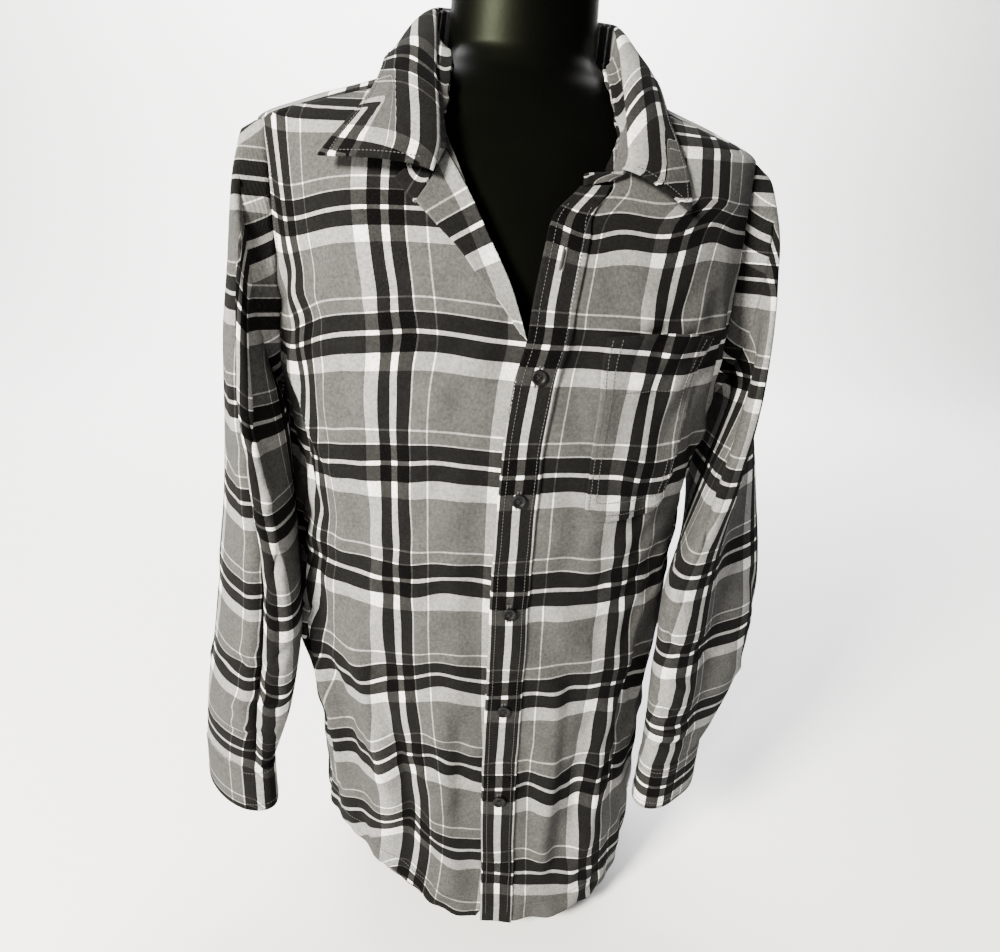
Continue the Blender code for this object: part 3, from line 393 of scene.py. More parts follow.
# rings down a sleeve: their middle's x and y, half axes, turn, inner and outer height, and crease
Ring = namedtuple("Ring", "across forward long short turn inner outer crease")
SLEEVE_LEFT = (
    Ring(0.2015, -0.003, 0.064, 0.009, 0, 0.497, 0.695, 0.000),
    Ring(0.2040, -0.006, 0.078, 0.012, 3, 0.484, 0.670, 0.002),
    Ring(0.2050, -0.014, 0.086, 0.017, 8, 0.458, 0.610, 0.004),
    Ring(0.2055, -0.031, 0.090, 0.0215, 17, 0.424, 0.540, 0.007),
    Ring(0.2045, -0.051, 0.091, 0.0245, 29, 0.385, 0.465, 0.010),
    Ring(0.2005, -0.069, 0.088, 0.0265, 41, 0.343, 0.400, 0.012),
    Ring(0.2010, -0.082, 0.078, 0.025, 50, 0.300, 0.340, 0.013),
    Ring(0.1980, -0.090, 0.070, 0.025, 54, 0.260, 0.286, 0.012),
    Ring(0.1940, -0.094, 0.060, 0.024, 55, 0.222, 0.237, 0.010),
    Ring(0.1880, -0.094, 0.049, 0.023, 53, 0.193, 0.200, 0.006),
    Ring(0.1830, -0.093, 0.041, 0.020, 51, 0.171, 0.171, 0.002),
)
SLEEVE_RIGHT = (
    Ring(0.2015, -0.003, 0.064, 0.009, 0, 0.497, 0.695, 0.000),
    Ring(0.2040, -0.006, 0.078, 0.012, 2, 0.484, 0.670, 0.002),
    Ring(0.2065, -0.010, 0.087, 0.0165, 4, 0.458, 0.610, 0.004),
    Ring(0.2095, -0.018, 0.089, 0.0215, 7, 0.424, 0.540, 0.008),
    Ring(0.2092, -0.028, 0.087, 0.0245, 12, 0.385, 0.465, 0.012),
    Ring(0.2085, -0.038, 0.082, 0.0270, 18, 0.343, 0.400, 0.014),
    Ring(0.2100, -0.047, 0.076, 0.0300, 22, 0.300, 0.340, 0.013),
    Ring(0.2145, -0.053, 0.068, 0.030, 25, 0.258, 0.284, 0.012),
    Ring(0.2210, -0.058, 0.060, 0.030, 29, 0.219, 0.234, 0.010),
    Ring(0.2280, -0.061, 0.052, 0.025, 36, 0.187, 0.193, 0.006),
    Ring(0.2330, -0.062, 0.045, 0.020, 42, 0.163, 0.163, 0.002),
)
CREASE_AT = {1: 166, -1: 112}  # degrees round each sleeve, its lengthwise crease
CREASE_WIDTH = 26

# creases of the sleeves: angle 0 faces the body, 90 the front, 180 outward and 270 the back
SLEEVE_RADIUS = 0.055
SLEEVE_CREASES = {
    -1: (
        Fold(117, 0.640, 112, 0.170, 0.0060, -0.0060),
        Fold(100, 0.600, 97, 0.200, 0.0080, 0.0034),
        Fold(134, 0.560, 130, 0.190, 0.0090, 0.0028),
        Fold(30, 0.600, 26, 0.370, 0.0260, 0.0085),
        Fold(80, 0.655, 64, 0.470, 0.0120, -0.0095),
        Fold(62, 0.500, 106, 0.455, 0.0065, -0.0034),
        Fold(58, 0.440, 104, 0.410, 0.0060, 0.0026),
        Fold(66, 0.395, 108, 0.345, 0.0060, -0.0032),
        Fold(124, 0.470, 170, 0.440, 0.0065, -0.0026),
        Fold(70, 0.300, 108, 0.275, 0.0055, -0.0030),
        Fold(122, 0.285, 175, 0.262, 0.0060, -0.0030),
        Fold(64, 0.250, 110, 0.236, 0.0050, 0.0026),
        Fold(120, 0.238, 170, 0.228, 0.0050, 0.0026),
        Fold(60, 0.208, 175, 0.200, 0.0045, -0.0026),
        Fold(170, 0.600, 186, 0.500, 0.0070, -0.0024),
        Fold(215, 0.560, 245, 0.400, 0.0080, 0.0028),
        Fold(200, 0.330, 240, 0.290, 0.0070, -0.0030),
        Fold(205, 0.250, 245, 0.235, 0.0060, 0.0026),
    ),
    1: (
        Fold(60, 0.560, 78, 0.420, 0.0070, -0.0036),
        Fold(82, 0.665, 64, 0.480, 0.0120, -0.0080),
        Fold(132, 0.620, 150, 0.480, 0.0080, -0.0034),
        Fold(112, 0.600, 126, 0.440, 0.0090, 0.0030),
        Fold(66, 0.450, 118, 0.400, 0.0065, -0.0034),
        Fold(64, 0.380, 120, 0.340, 0.0060, 0.0028),
        Fold(60, 0.345, 124, 0.298, 0.0060, -0.0036),
        Fold(70, 0.290, 140, 0.262, 0.0055, 0.0028),
        Fold(62, 0.262, 132, 0.236, 0.0055, -0.0034),
        Fold(128, 0.310, 172, 0.285, 0.0060, -0.0028),
        Fold(70, 0.226, 160, 0.214, 0.0050, 0.0028),
        Fold(64, 0.205, 168, 0.196, 0.0045, -0.0026),
        Fold(215, 0.560, 245, 0.400, 0.0080, 0.0028),
        Fold(200, 0.350, 240, 0.300, 0.0070, -0.0030),
        Fold(205, 0.260, 245, 0.240, 0.0060, 0.0026),
    ),
}

# the plaid, in centimetres: warp from the viewer's left to right, weft from the top down
Stripe = namedtuple("Stripe", "width yarn")
WARP = (
    Stripe(1.06, "black"),
    Stripe(0.56, "white"),
    Stripe(1.12, "black"),
    Stripe(0.10, "line"),
    Stripe(1.30, "grey"),
    Stripe(0.12, "line"),
    Stripe(4.66, "grey"),
    Stripe(1.28, "pale"),
)
WEFT = (
    Stripe(0.10, "line"),
    Stripe(1.28, "black"),
    Stripe(0.36, "white"),
    Stripe(1.28, "black"),
    Stripe(1.28, "pale"),
    Stripe(4.26, "grey"),
    Stripe(0.12, "line"),
    Stripe(1.02, "grey"),
)
YARN = {"black": 0.021, "grey": 0.235, "pale": 0.82, "white": 0.97, "line": 0.88}
WARP_REPEAT = sum(stripe.width for stripe in WARP) / 100
WEFT_REPEAT = sum(stripe.width for stripe in WEFT) / 100
WARP_MOTIF = (WARP[0].width + WARP[1].width / 2) / 100  # to the middle of black, white, black
WEFT_MOTIF = (WEFT[0].width + WEFT[1].width + WEFT[2].width / 2) / 100
WEFT_ON_BAND = 0.563  # height of a weft motif's middle on the buttonhole band

# ---------------------------------------------------------------- the shirt's surface


def smooth(keys, values, at):
    """A curve through the given values that never overshoots them (monotone cubic)."""
    keys = np.asarray(keys, float)
    values = np.asarray(values, float)
    span = np.diff(keys)
    slope = np.diff(values) / span
    tangent = np.zeros_like(values)
    same_way = slope[:-1] * slope[1:] > 0
    weighted = (span[:-1] + span[1:]) * slope[:-1] * slope[1:]
    mean = span[:-1] * slope[1:] + span[1:] * slope[:-1]
    tangent[1:-1] = np.where(same_way, weighted / np.where(same_way, mean, 1), 0)
    tangent[0] = slope[0]
    tangent[-1] = slope[-1]
    at = np.clip(at, keys[0], keys[-1])
    left = np.clip(np.searchsorted(keys, at, "right") - 1, 0, len(span) - 1)
    width = span[left]
    part = (at - keys[left]) / width
    rest = 1 - part
    ends = values[left] * rest**2 * (1 + 2 * part) + values[left + 1] * part**2 * (3 - 2 * part)
    return ends + width * part * rest * (tangent[left] * rest - tangent[left + 1] * part)


def column(rows, name):
    """One field of a table's rows, as an array."""
    return np.array([getattr(row, name) for row in rows])


def run_along(line):
    """Distance run along a line of points."""
    return np.concatenate([[0], np.cumsum(np.linalg.norm(np.diff(line, axis=0), axis=1))])


def lengths(points, axis):
    """Distance run down a grid of points (axis 0) or across it (axis 1)."""
    steps = np.linalg.norm(np.diff(points, axis=axis), axis=2)
    shape = list(points.shape[:2])
    shape[axis] = 1
    return np.concatenate([np.zeros(shape), np.cumsum(steps, axis)], axis)


def points_at(line, length, at):
    """The line's points at these distances along it."""
    return np.stack([np.interp(at, length, values) for values in line.T], 1)


def close_ring(points):
    """The points with the first one again at the end."""
    return np.concatenate([points, points[:1]])


def close_across(grid):
    """The grid with its first column again at the end."""
    return np.concatenate([grid, grid[:, :1]], 1)


def along(rows, count, names):
    """The rows' columns as smooth curves, read at evenly spaced steps of their length."""
    points = np.stack([column(rows, name) for name in names], 1)
    scale = np.array([FOLD_RADIUS * np.pi / 180 if name == "angle" else 1.0 for name in names])
    keys = run_along(points * scale)
    at = np.linspace(0, keys[-1], count)
    return np.stack([smooth(keys, values, at) for values in points.T], 1)


def unit(vectors):
    """The vectors, each scaled to length 1."""
    return vectors / np.maximum(np.linalg.norm(vectors, axis=-1, keepdims=True), 1e-12)


def fine(edge):
    """Lines of a sheet's grid along an edge."""
    return STEPS[edge] * FINE + 1


def section_sizes(rows, height):
    """Half width, front, back, shift and squareness at a height, between the table's rows."""
    return [smooth(column(rows, "height"), column(rows, name), height) for name in Section._fields[1:]]


def surface(rows, angle, height):
    """Points and outward normals of a body whose level sections are rounded ovals.

    x is the half width times cos to the power 2 / squareness, and y the front or
    back depth times sin to the same power.
    """
    half_width, front, back, shift, square = section_sizes(rows, height)
    turn = np.radians(angle)
    cosine, sine = np.cos(turn), np.sin(turn)
    depth = np.where(sine >= 0, front, back)
    side = np.sign(cosine) * np.abs(cosine) ** (2 / square)
    fore = np.sign(sine) * np.abs(sine) ** (2 / square)
    points = np.stack([shift + half_width * side, -depth * fore, height], -1)
    step = 0.001
    higher = section_sizes(rows, height + step)
    lower = section_sizes(rows, height - step)
    widening = (higher[0] - lower[0]) / (2 * step)
    deepening = np.where(sine >= 0, higher[1] - lower[1], higher[2] - lower[2]) / (2 * step)
    drift = (higher[3] - lower[3]) / (2 * step)
    normal_x = np.sign(side) * np.abs(side) ** (square - 1) / half_width
    normal_y = -np.sign(fore) * np.abs(fore) ** (square - 1) / depth
    rise = np.abs(side) ** square * widening / half_width
    rise = rise + np.abs(fore) ** square * deepening / depth
    normals = np.stack([normal_x, normal_y, -rise - normal_x * drift], -1)
    return points, unit(normals)


def from_back(angle):
    """The same angle, counted from -110 to 250 degrees."""
    return (np.asarray(angle) + 110) % 360 - 110


def bars(rows, angle, height, radius=FOLD_RADIUS):
    """How far the cloth stands out: each fold is a soft bar that fades at both ends."""
    total = np.zeros(np.broadcast(angle, height).shape)
    round_body = np.radians(from_back(angle)) * radius
    for fold in rows:
        start_x, end_x = np.radians(from_back([fold.angle_1, fold.angle_2])) * radius
        run_x, run_z = end_x - start_x, fold.height_2 - fold.height_1
        length = np.hypot(run_x, run_z)
        forward = ((round_body - start_x) * run_x + (height - fold.height_1) * run_z) / length**2
        across = ((round_body - start_x) * run_z - (height - fold.height_1) * run_x) / length
        inside = np.clip(forward, 0, 1)
        past = (forward - inside) * length
        fade = np.sin(np.pi * (FOLD_END + FOLD_SPAN * inside))
        total = total + fold.rise * fade * np.exp(-(across**2 + past**2) / fold.width**2)
    return total


def wave(turns):
    """A sine wave, from its place in whole turns."""
    return np.sin(2 * np.pi * turns)


def rumple(angle, height):
    """Shallow waves of worn cloth between its folds.

    Upright waves that lean a little, times level ones: the place of each wanders with
    a slow wave the other way. Finer slanting waves, fading in and out, are added.
    """
    x = np.radians(from_back(angle)) * FOLD_RADIUS
    z = np.asarray(height, float)
    upright = wave((x + 0.3 * z) / UPRIGHT_WAVE + 0.40 * wave(z / WANDER_UP))
    level = wave(z / LEVEL_WAVE + 0.35 * wave(x / WANDER_ROUND))
    slanting = wave(x / SLANT_WAVE - z / 0.120) * wave(x / 0.170 + z / 0.230)
    return RUMPLE * (upright * level + 0.45 * slanting)


def cloth(angle, height, out=0.0):
    """A point of the shirt's torso, out metres from the cloth's inner face."""
    points, normals = surface(TORSO, angle, height)
    quiet = np.clip((FOLDS_STOP - np.asarray(height)) / FOLDS_FADE, 0, 1)
    creased = CREASE_DEPTH * bars(CREASES, angle, height)
    lift = out + (bars(FOLDS, angle, height) + creased + rumple(angle, height)) * quiet
    return points + normals * np.asarray(lift)[..., None], normals


def angle_at(across, height):
    """The angle at which the front of the torso has this x."""
    half_width, _, _, shift, square = section_sizes(TORSO, height)
    side = (across - shift) / half_width
    return np.degrees(np.arccos(np.sign(side) * np.abs(side) ** (square / 2)))


def hem(angle):
    """Shirt-tail: low at the front and back, raised at the sides."""
    turned = (np.asarray(angle) + 90) % 360 - 90
    return smooth(column(HEM, "angle"), column(HEM, "height"), turned)


def grid_normals(points, ring=False):
    """Unit normals of a grid of points, from the steps along its rows and columns."""
    if ring:
        wrapped = np.concatenate([points[:, -1:], points, points[:, :1]], 1)
        across = np.gradient(wrapped, axis=1)[:, 1:-1]
    else:
        across = np.gradient(points, axis=1)
    down = np.gradient(points, axis=0)
    return unit(np.cross(across, down))


def tube_normals(base):
    """Unit normals of a tube's grid of rings, away from the middle of each ring."""
    normals = grid_normals(base, ring=True)
    away = base - base.mean(axis=1, keepdims=True)
    return normals if np.einsum("ijk,ijk->", normals, away) > 0 else -normals


def between(start, end, bottom, top):
    """A patch of (angle, height) marks inside four edges.

    Rows run straight from start to end, and the bow of the bottom and of the top
    edge fades with the fourth power of the distance from it.
    """
    part = np.linspace(0, 1, len(bottom))[None, :, None]
    up = np.linspace(0, 1, len(start))[:, None, None]
    grid = start[:, None] * (1 - part) + end[:, None] * part
    bottom_bow = bottom - (bottom[0] * (1 - part[0]) + bottom[-1] * part[0])
    top_bow = top - (top[0] * (1 - part[0]) + top[-1] * part[0])
    return grid + bottom_bow * (1 - up) ** 4 + top_bow * up**4


def panel_marks(start, side, top, side_angle):
    """Marks of a panel: from its starting edge to its side seam, and from the hem to its top."""
    start[-1], side[-1] = top[0], top[-1]
    hem_angle = np.linspace(start[0, 0], side_angle, len(top))
    bottom = np.stack([hem_angle, hem(hem_angle)], 1)
    start[0], side[0] = bottom[0], bottom[-1]
    return between(start, side, bottom, top)


def side_edge(armhole):
    """Marks up the side seam and then up one half of the armhole."""
    heights = np.linspace(HEM_SIDE, ARMPIT, fine("side"))[:-1]
    seam = np.stack([np.zeros_like(heights), heights], 1)
    return np.concatenate([seam, armhole])


def armhole_marks():
    """Marks round the wearer's left armhole: up its front, over the yoke's end and down its back."""
    front = along(ARMHOLE_FRONT, fine("armhole"), ("angle", "height"))
    top = along(ARMHOLE_TOP, fine("armhole_top"), ("angle", "height"))
    back = along(ARMHOLE_BACK, fine("armhole"), ("angle", "height"))
    return front, top, back


def neck_marks(start, end, count):
    """Marks on the neckline, evenly spaced along it, from one angle to another."""
    steps = np.linspace(start, end, NECK_SAMPLES)
    heights = smooth(-column(NECK, "angle"), column(NECK, "height"), -steps)
    points, _ = cloth(steps, heights)
    length = run_along(points)
    return points_at(np.stack([steps, heights], 1), length, np.linspace(0, length[-1], count))


def band_edge(height):
    """x of the band's free edge."""
    return smooth(column(BAND_EDGE, "height"), column(BAND_EDGE, "across"), height)


def band_centre(height):
    """x of the line that the buttons are on."""
    return band_edge(height) + BAND_WIDTH / 2


# ---------------------------------------------------------------- places in the weave

GRAIN_ANGLES = np.linspace(0, 180, 181)
GRAIN_HEIGHTS = np.linspace(-0.03, 0.78, 163)
UP_HERE = 0.7  # the share of V that runs up a place's own line, the rest up the middle of the front


def lookup(table, angle, height):
    """The table's value between its four nearest entries, for angles 0 to 180."""
    row = (height - GRAIN_HEIGHTS[0]) / (GRAIN_HEIGHTS[1] - GRAIN_HEIGHTS[0])
    row = np.clip(row, 0, len(GRAIN_HEIGHTS) - 1.001)
    place = np.clip(angle, 0, 179.999)
    low, left = row.astype(int), place.astype(int)
    up, right = row - low, place - left
    lower = table[low, left] * (1 - right) + table[low, left + 1] * right
    upper = table[low + 1, left] * (1 - right) + table[low + 1, left + 1] * right
    return lower * (1 - up) + upper * up


def grain_tables(sign):
    """Arc lengths on the torso: round it from angle 0, and up it from height 0.

    sign 1 is the front half and -1 the back half, where angles count as negative.
    """
    angle, height = np.meshgrid(GRAIN_ANGLES, GRAIN_HEIGHTS)
    points, _ = surface(TORSO, sign * angle, height)
    up_body = lengths(points, 0)
    zero = np.argmin(np.abs(GRAIN_HEIGHTS))
    return lengths(points, 1), up_body - up_body[zero]


FRONT_GRAIN = grain_tables(1)
BACK_GRAIN = grain_tables(-1)


def drawn(rows, angle, height):
    """How far the weave is drawn across and down: a sum of soft round bumps."""
    across, down = np.zeros(np.shape(angle)), np.zeros(np.shape(angle))
    for pull in rows:
        far = ((angle - pull.angle) / pull.wide) ** 2 + ((height - pull.height) / pull.tall) ** 2
        across = across + pull.across * np.exp(-far)
        down = down + pull.down * np.exp(-far)
    return across, down


def front_weave(angle, height, zero_across, pulls, drift):
    """U to the wearer's left of the line x = zero_across, and V down, in metres.

    V runs faster by the drift below the V's foot and by CHEST_DRIFT above it, and the
    pulls then move the weave about.
    """
    round_front, up_front = FRONT_GRAIN
    left = lookup(round_front, angle_at(zero_across, height), height) - lookup(round_front, angle, height)
    up_middle = lookup(up_front, np.full_like(height, 90.0), height)
    up = lookup(up_front, angle, height) * UP_HERE + up_middle * (1 - UP_HERE)
    zero = lookup(up_front, np.array([90.0]), np.array([WEFT_ON_BAND]))[0]
    down = (zero - up) * np.where(zero > up, drift, CHEST_DRIFT)
    drawn_across, drawn_down = drawn(pulls, angle, height)
    return left - drawn_across, down - drawn_down


def left_weave(angle, height):
    """The wearer's left front, with its band and pocket, is matched to one weave."""
    return front_weave(angle, height, band_centre(height), PULLS_LEFT, DRIFT_LEFT)


def back_weave(angle, height):
    """U to the wearer's left of the middle of the back, and V down."""
    round_back, up_back = BACK_GRAIN
    left = lookup(round_back, np.full_like(height, 90.0), height) - lookup(round_back, -angle, height)
    zero = lookup(up_back, np.array([90.0]), np.array([WEFT_ON_BAND]))[0]
    return left, zero - lookup(up_back, -angle, height)


def repeats(across, down):
    """The weave's place in repeats, with the motif's middle where across and down are 0."""
    return np.stack([(across + WARP_MOTIF) / WARP_REPEAT, (down + WEFT_MOTIF) / WEFT_REPEAT], -1)


# ---------------------------------------------------------------- making meshes


def add_mesh(name, points, faces, uv=None, uv_faces=None):
    """A mesh object from arrays of points and of four-sided faces."""
    mesh = bpy.data.meshes.new(name)
    lifted = np.asarray(points, float) + (0, 0, HEM_CLEARANCE)
    mesh.vertices.add(len(lifted))
    mesh.vertices.foreach_set("co", lifted.astype(np.float32).ravel())
    mesh.loops.add(faces.size)
    mesh.loops.foreach_set("vertex_index", faces.astype(np.int32).ravel())
    mesh.polygons.add(len(faces))
    mesh.polygons.foreach_set("loop_start", np.arange(0, faces.size, 4, dtype=np.int32))
    mesh.update(calc_edges=True)
    if uv is not None:
        layer = mesh.uv_layers.new(name="weave")
        layer.data.foreach_set("uv", uv.reshape(-1, 2)[uv_faces.ravel()].astype(np.float32).ravel())
    mesh.validate()
    mesh.shade_smooth()
    thing = bpy.data.objects.new(name, mesh)
    bpy.context.scene.collection.objects.link(thing)
    return thing


def rows_of_faces(grid):
    """Four-sided faces between the neighbours of a grid of vertex numbers."""
    return np.stack([grid[:-1, :-1], grid[:-1, 1:], grid[1:, 1:], grid[1:, :-1]], -1).reshape(-1, 4)


def facing_out(points, faces):
    """True where the closed mesh's faces point away from its inside."""
    corners = points[faces]
    area = np.cross(corners[:, 1], corners[:, 2]) + np.cross(corners[:, 2], corners[:, 3])
    return np.einsum("ij,ij->", corners[:, 0], area) > 0


def turned_out(points, faces):
    """The closed mesh's faces, turned round if they point to its inside."""
    return faces if facing_out(points, faces) else faces[:, ::-1]


def rim_loops(grid, ring):
    """The grid's edge as closed loops: one round a patch, or one at each end of a ring."""
    if ring:
        return [grid[0], grid[-1, ::-1]]
    return [np.concatenate([grid[0], grid[1:, -1], grid[-1, -2::-1], grid[-2::-1, 0]])]


def shell(name, outer, inner, uv, ring=False):
    """A sheet of cloth between two grids of points, with a rounded rim.

    The rim's middle line stands out past the edge by half of the thickness. On a
    ring the first column follows the last, and uv has one column more.
    """
    rows, columns = outer.shape[:2]
    count = rows * columns
    grid = np.arange(count).reshape(rows, columns)
    uv_grid = np.arange(rows * uv.shape[1]).reshape(rows, uv.shape[1])
    if ring:
        grid = close_across(grid)
    push = np.zeros_like(outer)
    push[0] += unit(outer[0] - outer[1])
    push[-1] += unit(outer[-1] - outer[-2])
    if not ring:
        push[:, 0] += unit(outer[:, 0] - outer[:, 1])
        push[:, -1] += unit(outer[:, -1] - outer[:, -2])
    thick = np.linalg.norm(outer - inner, axis=-1, keepdims=True)
    middle = (outer + inner) / 2 + unit(push) * thick * 0.5
    rims, uv_rims = rim_loops(grid, ring), rim_loops(uv_grid, ring)
    faces = [rows_of_faces(grid)]
    uv_faces = [rows_of_faces(uv_grid)]
    faces.append(faces[0][:, ::-1] + count)
    uv_faces.append(uv_faces[0][:, ::-1])
    for loop, uv_loop in zip(rims, uv_rims):
        for near, far in ((0, 2 * count), (2 * count, count)):
            faces.append(np.stack([loop[1:] + near, loop[:-1] + near, loop[:-1] + far, loop[1:] + far], -1))
            uv_faces.append(np.stack([uv_loop[1:], uv_loop[:-1], uv_loop[:-1], uv_loop[1:]], -1))
    faces, uv_faces = np.concatenate(faces), np.concatenate(uv_faces)
    points = np.concatenate([outer.reshape(-1, 3), inner.reshape(-1, 3), middle.reshape(-1, 3)])
    if not facing_out(points, faces):
        faces, uv_faces = faces[:, ::-1], uv_faces[:, ::-1]
    used, renumbered = np.unique(faces, return_inverse=True)
    return add_mesh(name, points[used], renumbered.reshape(faces.shape), uv, uv_faces)


def sheet(name, node, outer, inner, uv, ring=False):
    """A shell that stands for a cloth node, in the flannel and on the root body, with the node's own part
    hidden.
    """
    piece = shell(name, outer, inner, uv, ring)
    piece.data.materials.append(FLANNEL)
    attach(piece, "root")
    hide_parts(node)
    middle = (outer + inner) / 2
    if ring:
        middle = close_across(middle)
    return piece


def seam_rows(name, angle, height, edges, out=0.0):
    """Stitching beside a panel's edges: its hem or its side."""
    skin = np.broadcast_to(out + WALL, angle.shape)
    at = {"hem": (HEM_ROWS, INSET), "side": (INSET, -1 - EDGE_ROWS)}
    for edge in edges:
        place = at[edge]
        torso_stitches(f"{name}_stitches_{edge}", angle[place], height[place], skin[place])


def part_shell(name, angle, height, weave, out=0.0, thick=WALL):
    """A sheet on the torso's surface, out metres from the innermost layer's inner face."""
    outer, _ = cloth(angle, height, out + thick)
    inner, _ = cloth(angle, height, out)
    return sheet(name + "_cloth", name, outer, inner, repeats(*weave))


# ---------------------------------------------------------------- materials

TWILL_PITCH = 0.0016
YARN_SLIP = 0.006  # repeats, by which the fuzz blurs a stripe's edge
SLUB_LONG, SLUB_CROSS = 60, 900  # grains to a metre, along a thread and across it
NAP_SHADE, PALEST = 0.012, 0.93  # what the nap adds, and the most that a shade can be
COTTON_TINT = (0.985, 0.980, 0.965)


def new_material(name):
    """A material, its node tree and its shader."""
    material = bpy.data.materials.new(name)
    material.use_nodes = True
    tree = material.node_tree
    return material, tree, tree.nodes["Principled BSDF"]


def set_inputs(node, values):
    """Sets the node's inputs of these names to these values."""
    for name, value in values.items():
        node.inputs[name].default_value = value


def add_math(tree, operation, first, second=None):
    """The output of a maths node on sockets or plain numbers."""
    node = tree.nodes.new("ShaderNodeMath")
    node.operation = operation
    for socket, value in zip(node.inputs, (first, second)):
        if value is None:
            continue
        if isinstance(value, (int, float)):
            socket.default_value = value
        else:
            tree.links.new(value, socket)
    return node.outputs[0]


def stripes(tree, place, rows):
    """A stripe's yarn shade at each place in the repeat, as sharp steps."""
    ramp = tree.nodes.new("ShaderNodeValToRGB")
    ramp.color_ramp.interpolation = "CONSTANT"
    total = sum(row.width for row in rows)
    start = 0.0
    for number, row in enumerate(rows):
        shade = YARN[row.yarn]
        if number < 2:
            stop = ramp.color_ramp.elements[number]
            stop.position = start / total
        else:
            stop = ramp.color_ramp.elements.new(start / total)
        stop.color = (shade, shade, shade, 1)
        start += row.width
    tree.links.new(add_math(tree, "FRACT", place), ramp.inputs[0])
    return ramp.outputs[0]


def mixture(tree, parts, base=0.0):
    """The sum of the sockets, each times its weight, and of the base."""
    total = base
    for socket, weight in parts:
        total = add_math(tree, "ADD", add_math(tree, "MULTIPLY", socket, weight), total)
    return total


def noise(tree, vector, scale, detail=2.0, roughness=0.5):
    """Soft noise, with this many grains to a unit of the vector."""
    node = tree.nodes.new("ShaderNodeTexNoise")
    set_inputs(node, {"Scale": scale, "Detail": detail, "Roughness": roughness})
    tree.links.new(vector, node.inputs["Vector"])
    return node.outputs["Fac"]


def own_place(tree):
    """A point's place in metres, which stays with its piece."""
    return tree.nodes.new("ShaderNodeTexCoord").outputs["Object"]


def shades(tree, part, shader, dark, light):
    """The shader's colour, from dark to light as the part rises from 0 to 1."""
    ramp = tree.nodes.new("ShaderNodeValToRGB")
    ramp.color_ramp.elements[0].color = (*dark, 1)
    ramp.color_ramp.elements[1].color = (*light, 1)
    tree.links.new(part, ramp.inputs[0])
    tree.links.new(ramp.outputs[0], shader.inputs["Base Color"])


def relief(tree, shader, height, depth, strength):
    """Small bumps in the shader's normal."""
    bump = tree.nodes.new("ShaderNodeBump")
    set_inputs(bump, {"Distance": depth, "Strength": strength})
    tree.links.new(height, bump.inputs["Height"])
    tree.links.new(bump.outputs[0], shader.inputs["Normal"])


def make_flannel():
    """Brushed plaid twill: the shade is warp yarn times weft yarn, with a twill line and nap."""
    material, tree, shader = new_material("plaid_flannel")
    weave = tree.nodes.new("ShaderNodeUVMap")
    weave.uv_map = "weave"
    place = own_place(tree)
    fuzz = noise(tree, place, 900, 3.0, 0.7)
    heather = noise(tree, place, 430, 4.0, 0.7)
    mottle = noise(tree, place, 85, 3.0, 0.6)
    parts = tree.nodes.new("ShaderNodeSeparateXYZ")
    tree.links.new(weave.outputs[0], parts.inputs[0])
    slip = add_math(tree, "MULTIPLY", add_math(tree, "SUBTRACT", fuzz, 0.5), YARN_SLIP)
    warp = stripes(tree, add_math(tree, "ADD", parts.outputs[0], slip), WARP)
    weft = stripes(tree, add_math(tree, "ADD", parts.outputs[1], slip), WEFT)
    across = add_math(tree, "MULTIPLY", parts.outputs[0], WARP_REPEAT)
    down = add_math(tree, "MULTIPLY", parts.outputs[1], WEFT_REPEAT)
    slant = add_math(tree, "ADD", across, down)
    twill = add_math(tree, "SINE", add_math(tree, "MULTIPLY", slant, 2 * np.pi / TWILL_PITCH))
    slubs = slub_threads(tree, across, down)
    grain = mixture(tree, ((heather, 1.80), (mottle, 0.40), (slubs, 0.30), (twill, 0.04)), -0.25)
    yarn = add_math(tree, "MULTIPLY", add_math(tree, "MULTIPLY", warp, weft), grain)
    nap = add_math(tree, "MULTIPLY", add_math(tree, "POWER", fuzz, 4.0), NAP_SHADE)
    shade = add_math(tree, "MINIMUM", add_math(tree, "ADD", yarn, nap), PALEST)
    tint = tree.nodes.new("ShaderNodeCombineColor")
    for socket, strength in zip(tint.inputs, COTTON_TINT):
        tree.links.new(add_math(tree, "MULTIPLY", shade, strength), socket)
    tree.links.new(tint.outputs[0], shader.inputs["Base Color"])
    set_inputs(shader, {"Roughness": 0.95, "Specular IOR Level": 0.015})
    set_inputs(shader, {"Sheen Weight": 0.01, "Sheen Roughness": 0.6})
    relief(tree, shader, mixture(tree, ((heather, 1.0), (twill, 0.15), (slubs, 0.5))), 0.0008, 0.5)
    return material


def slub_threads(tree, across, down):
    """Thicker and thinner places in the threads: noise drawn out along warp and along weft."""
    rows = []
    for long_way, cross_way in ((down, across), (across, down)):
        vector = tree.nodes.new("ShaderNodeCombineXYZ")
        tree.links.new(add_math(tree, "MULTIPLY", long_way, SLUB_LONG), vector.inputs[0])
        tree.links.new(add_math(tree, "MULTIPLY", cross_way, SLUB_CROSS), vector.inputs[1])
        rows.append(noise(tree, vector.outputs[0], 1.0, 2.0, 0.6))
    return add_math(tree, "MULTIPLY", add_math(tree, "ADD", *rows), 0.5)


def make_button_black():
    """Moulded black resin with a faint swirl."""
    material, tree, shader = new_material("black_button")
    swirl = noise(tree, own_place(tree), 260, 4.0)
    shades(tree, swirl, shader, (0.0008, 0.0008, 0.0010), (0.0045, 0.0045, 0.0050))
    set_inputs(shader, {"Roughness": 0.5, "Specular IOR Level": 0.15})
    return material


def make_thread(name, dark, light):
    """Twisted sewing thread, between a dark and a light grey."""
    material, tree, shader = new_material(name)
    ply = noise(tree, own_place(tree), 2500, 2.0)
    shades(tree, ply, shader, (dark,) * 3, (light,) * 3)
    set_inputs(shader, {"Roughness": 0.8, "Specular IOR Level": 0.2})
    return material


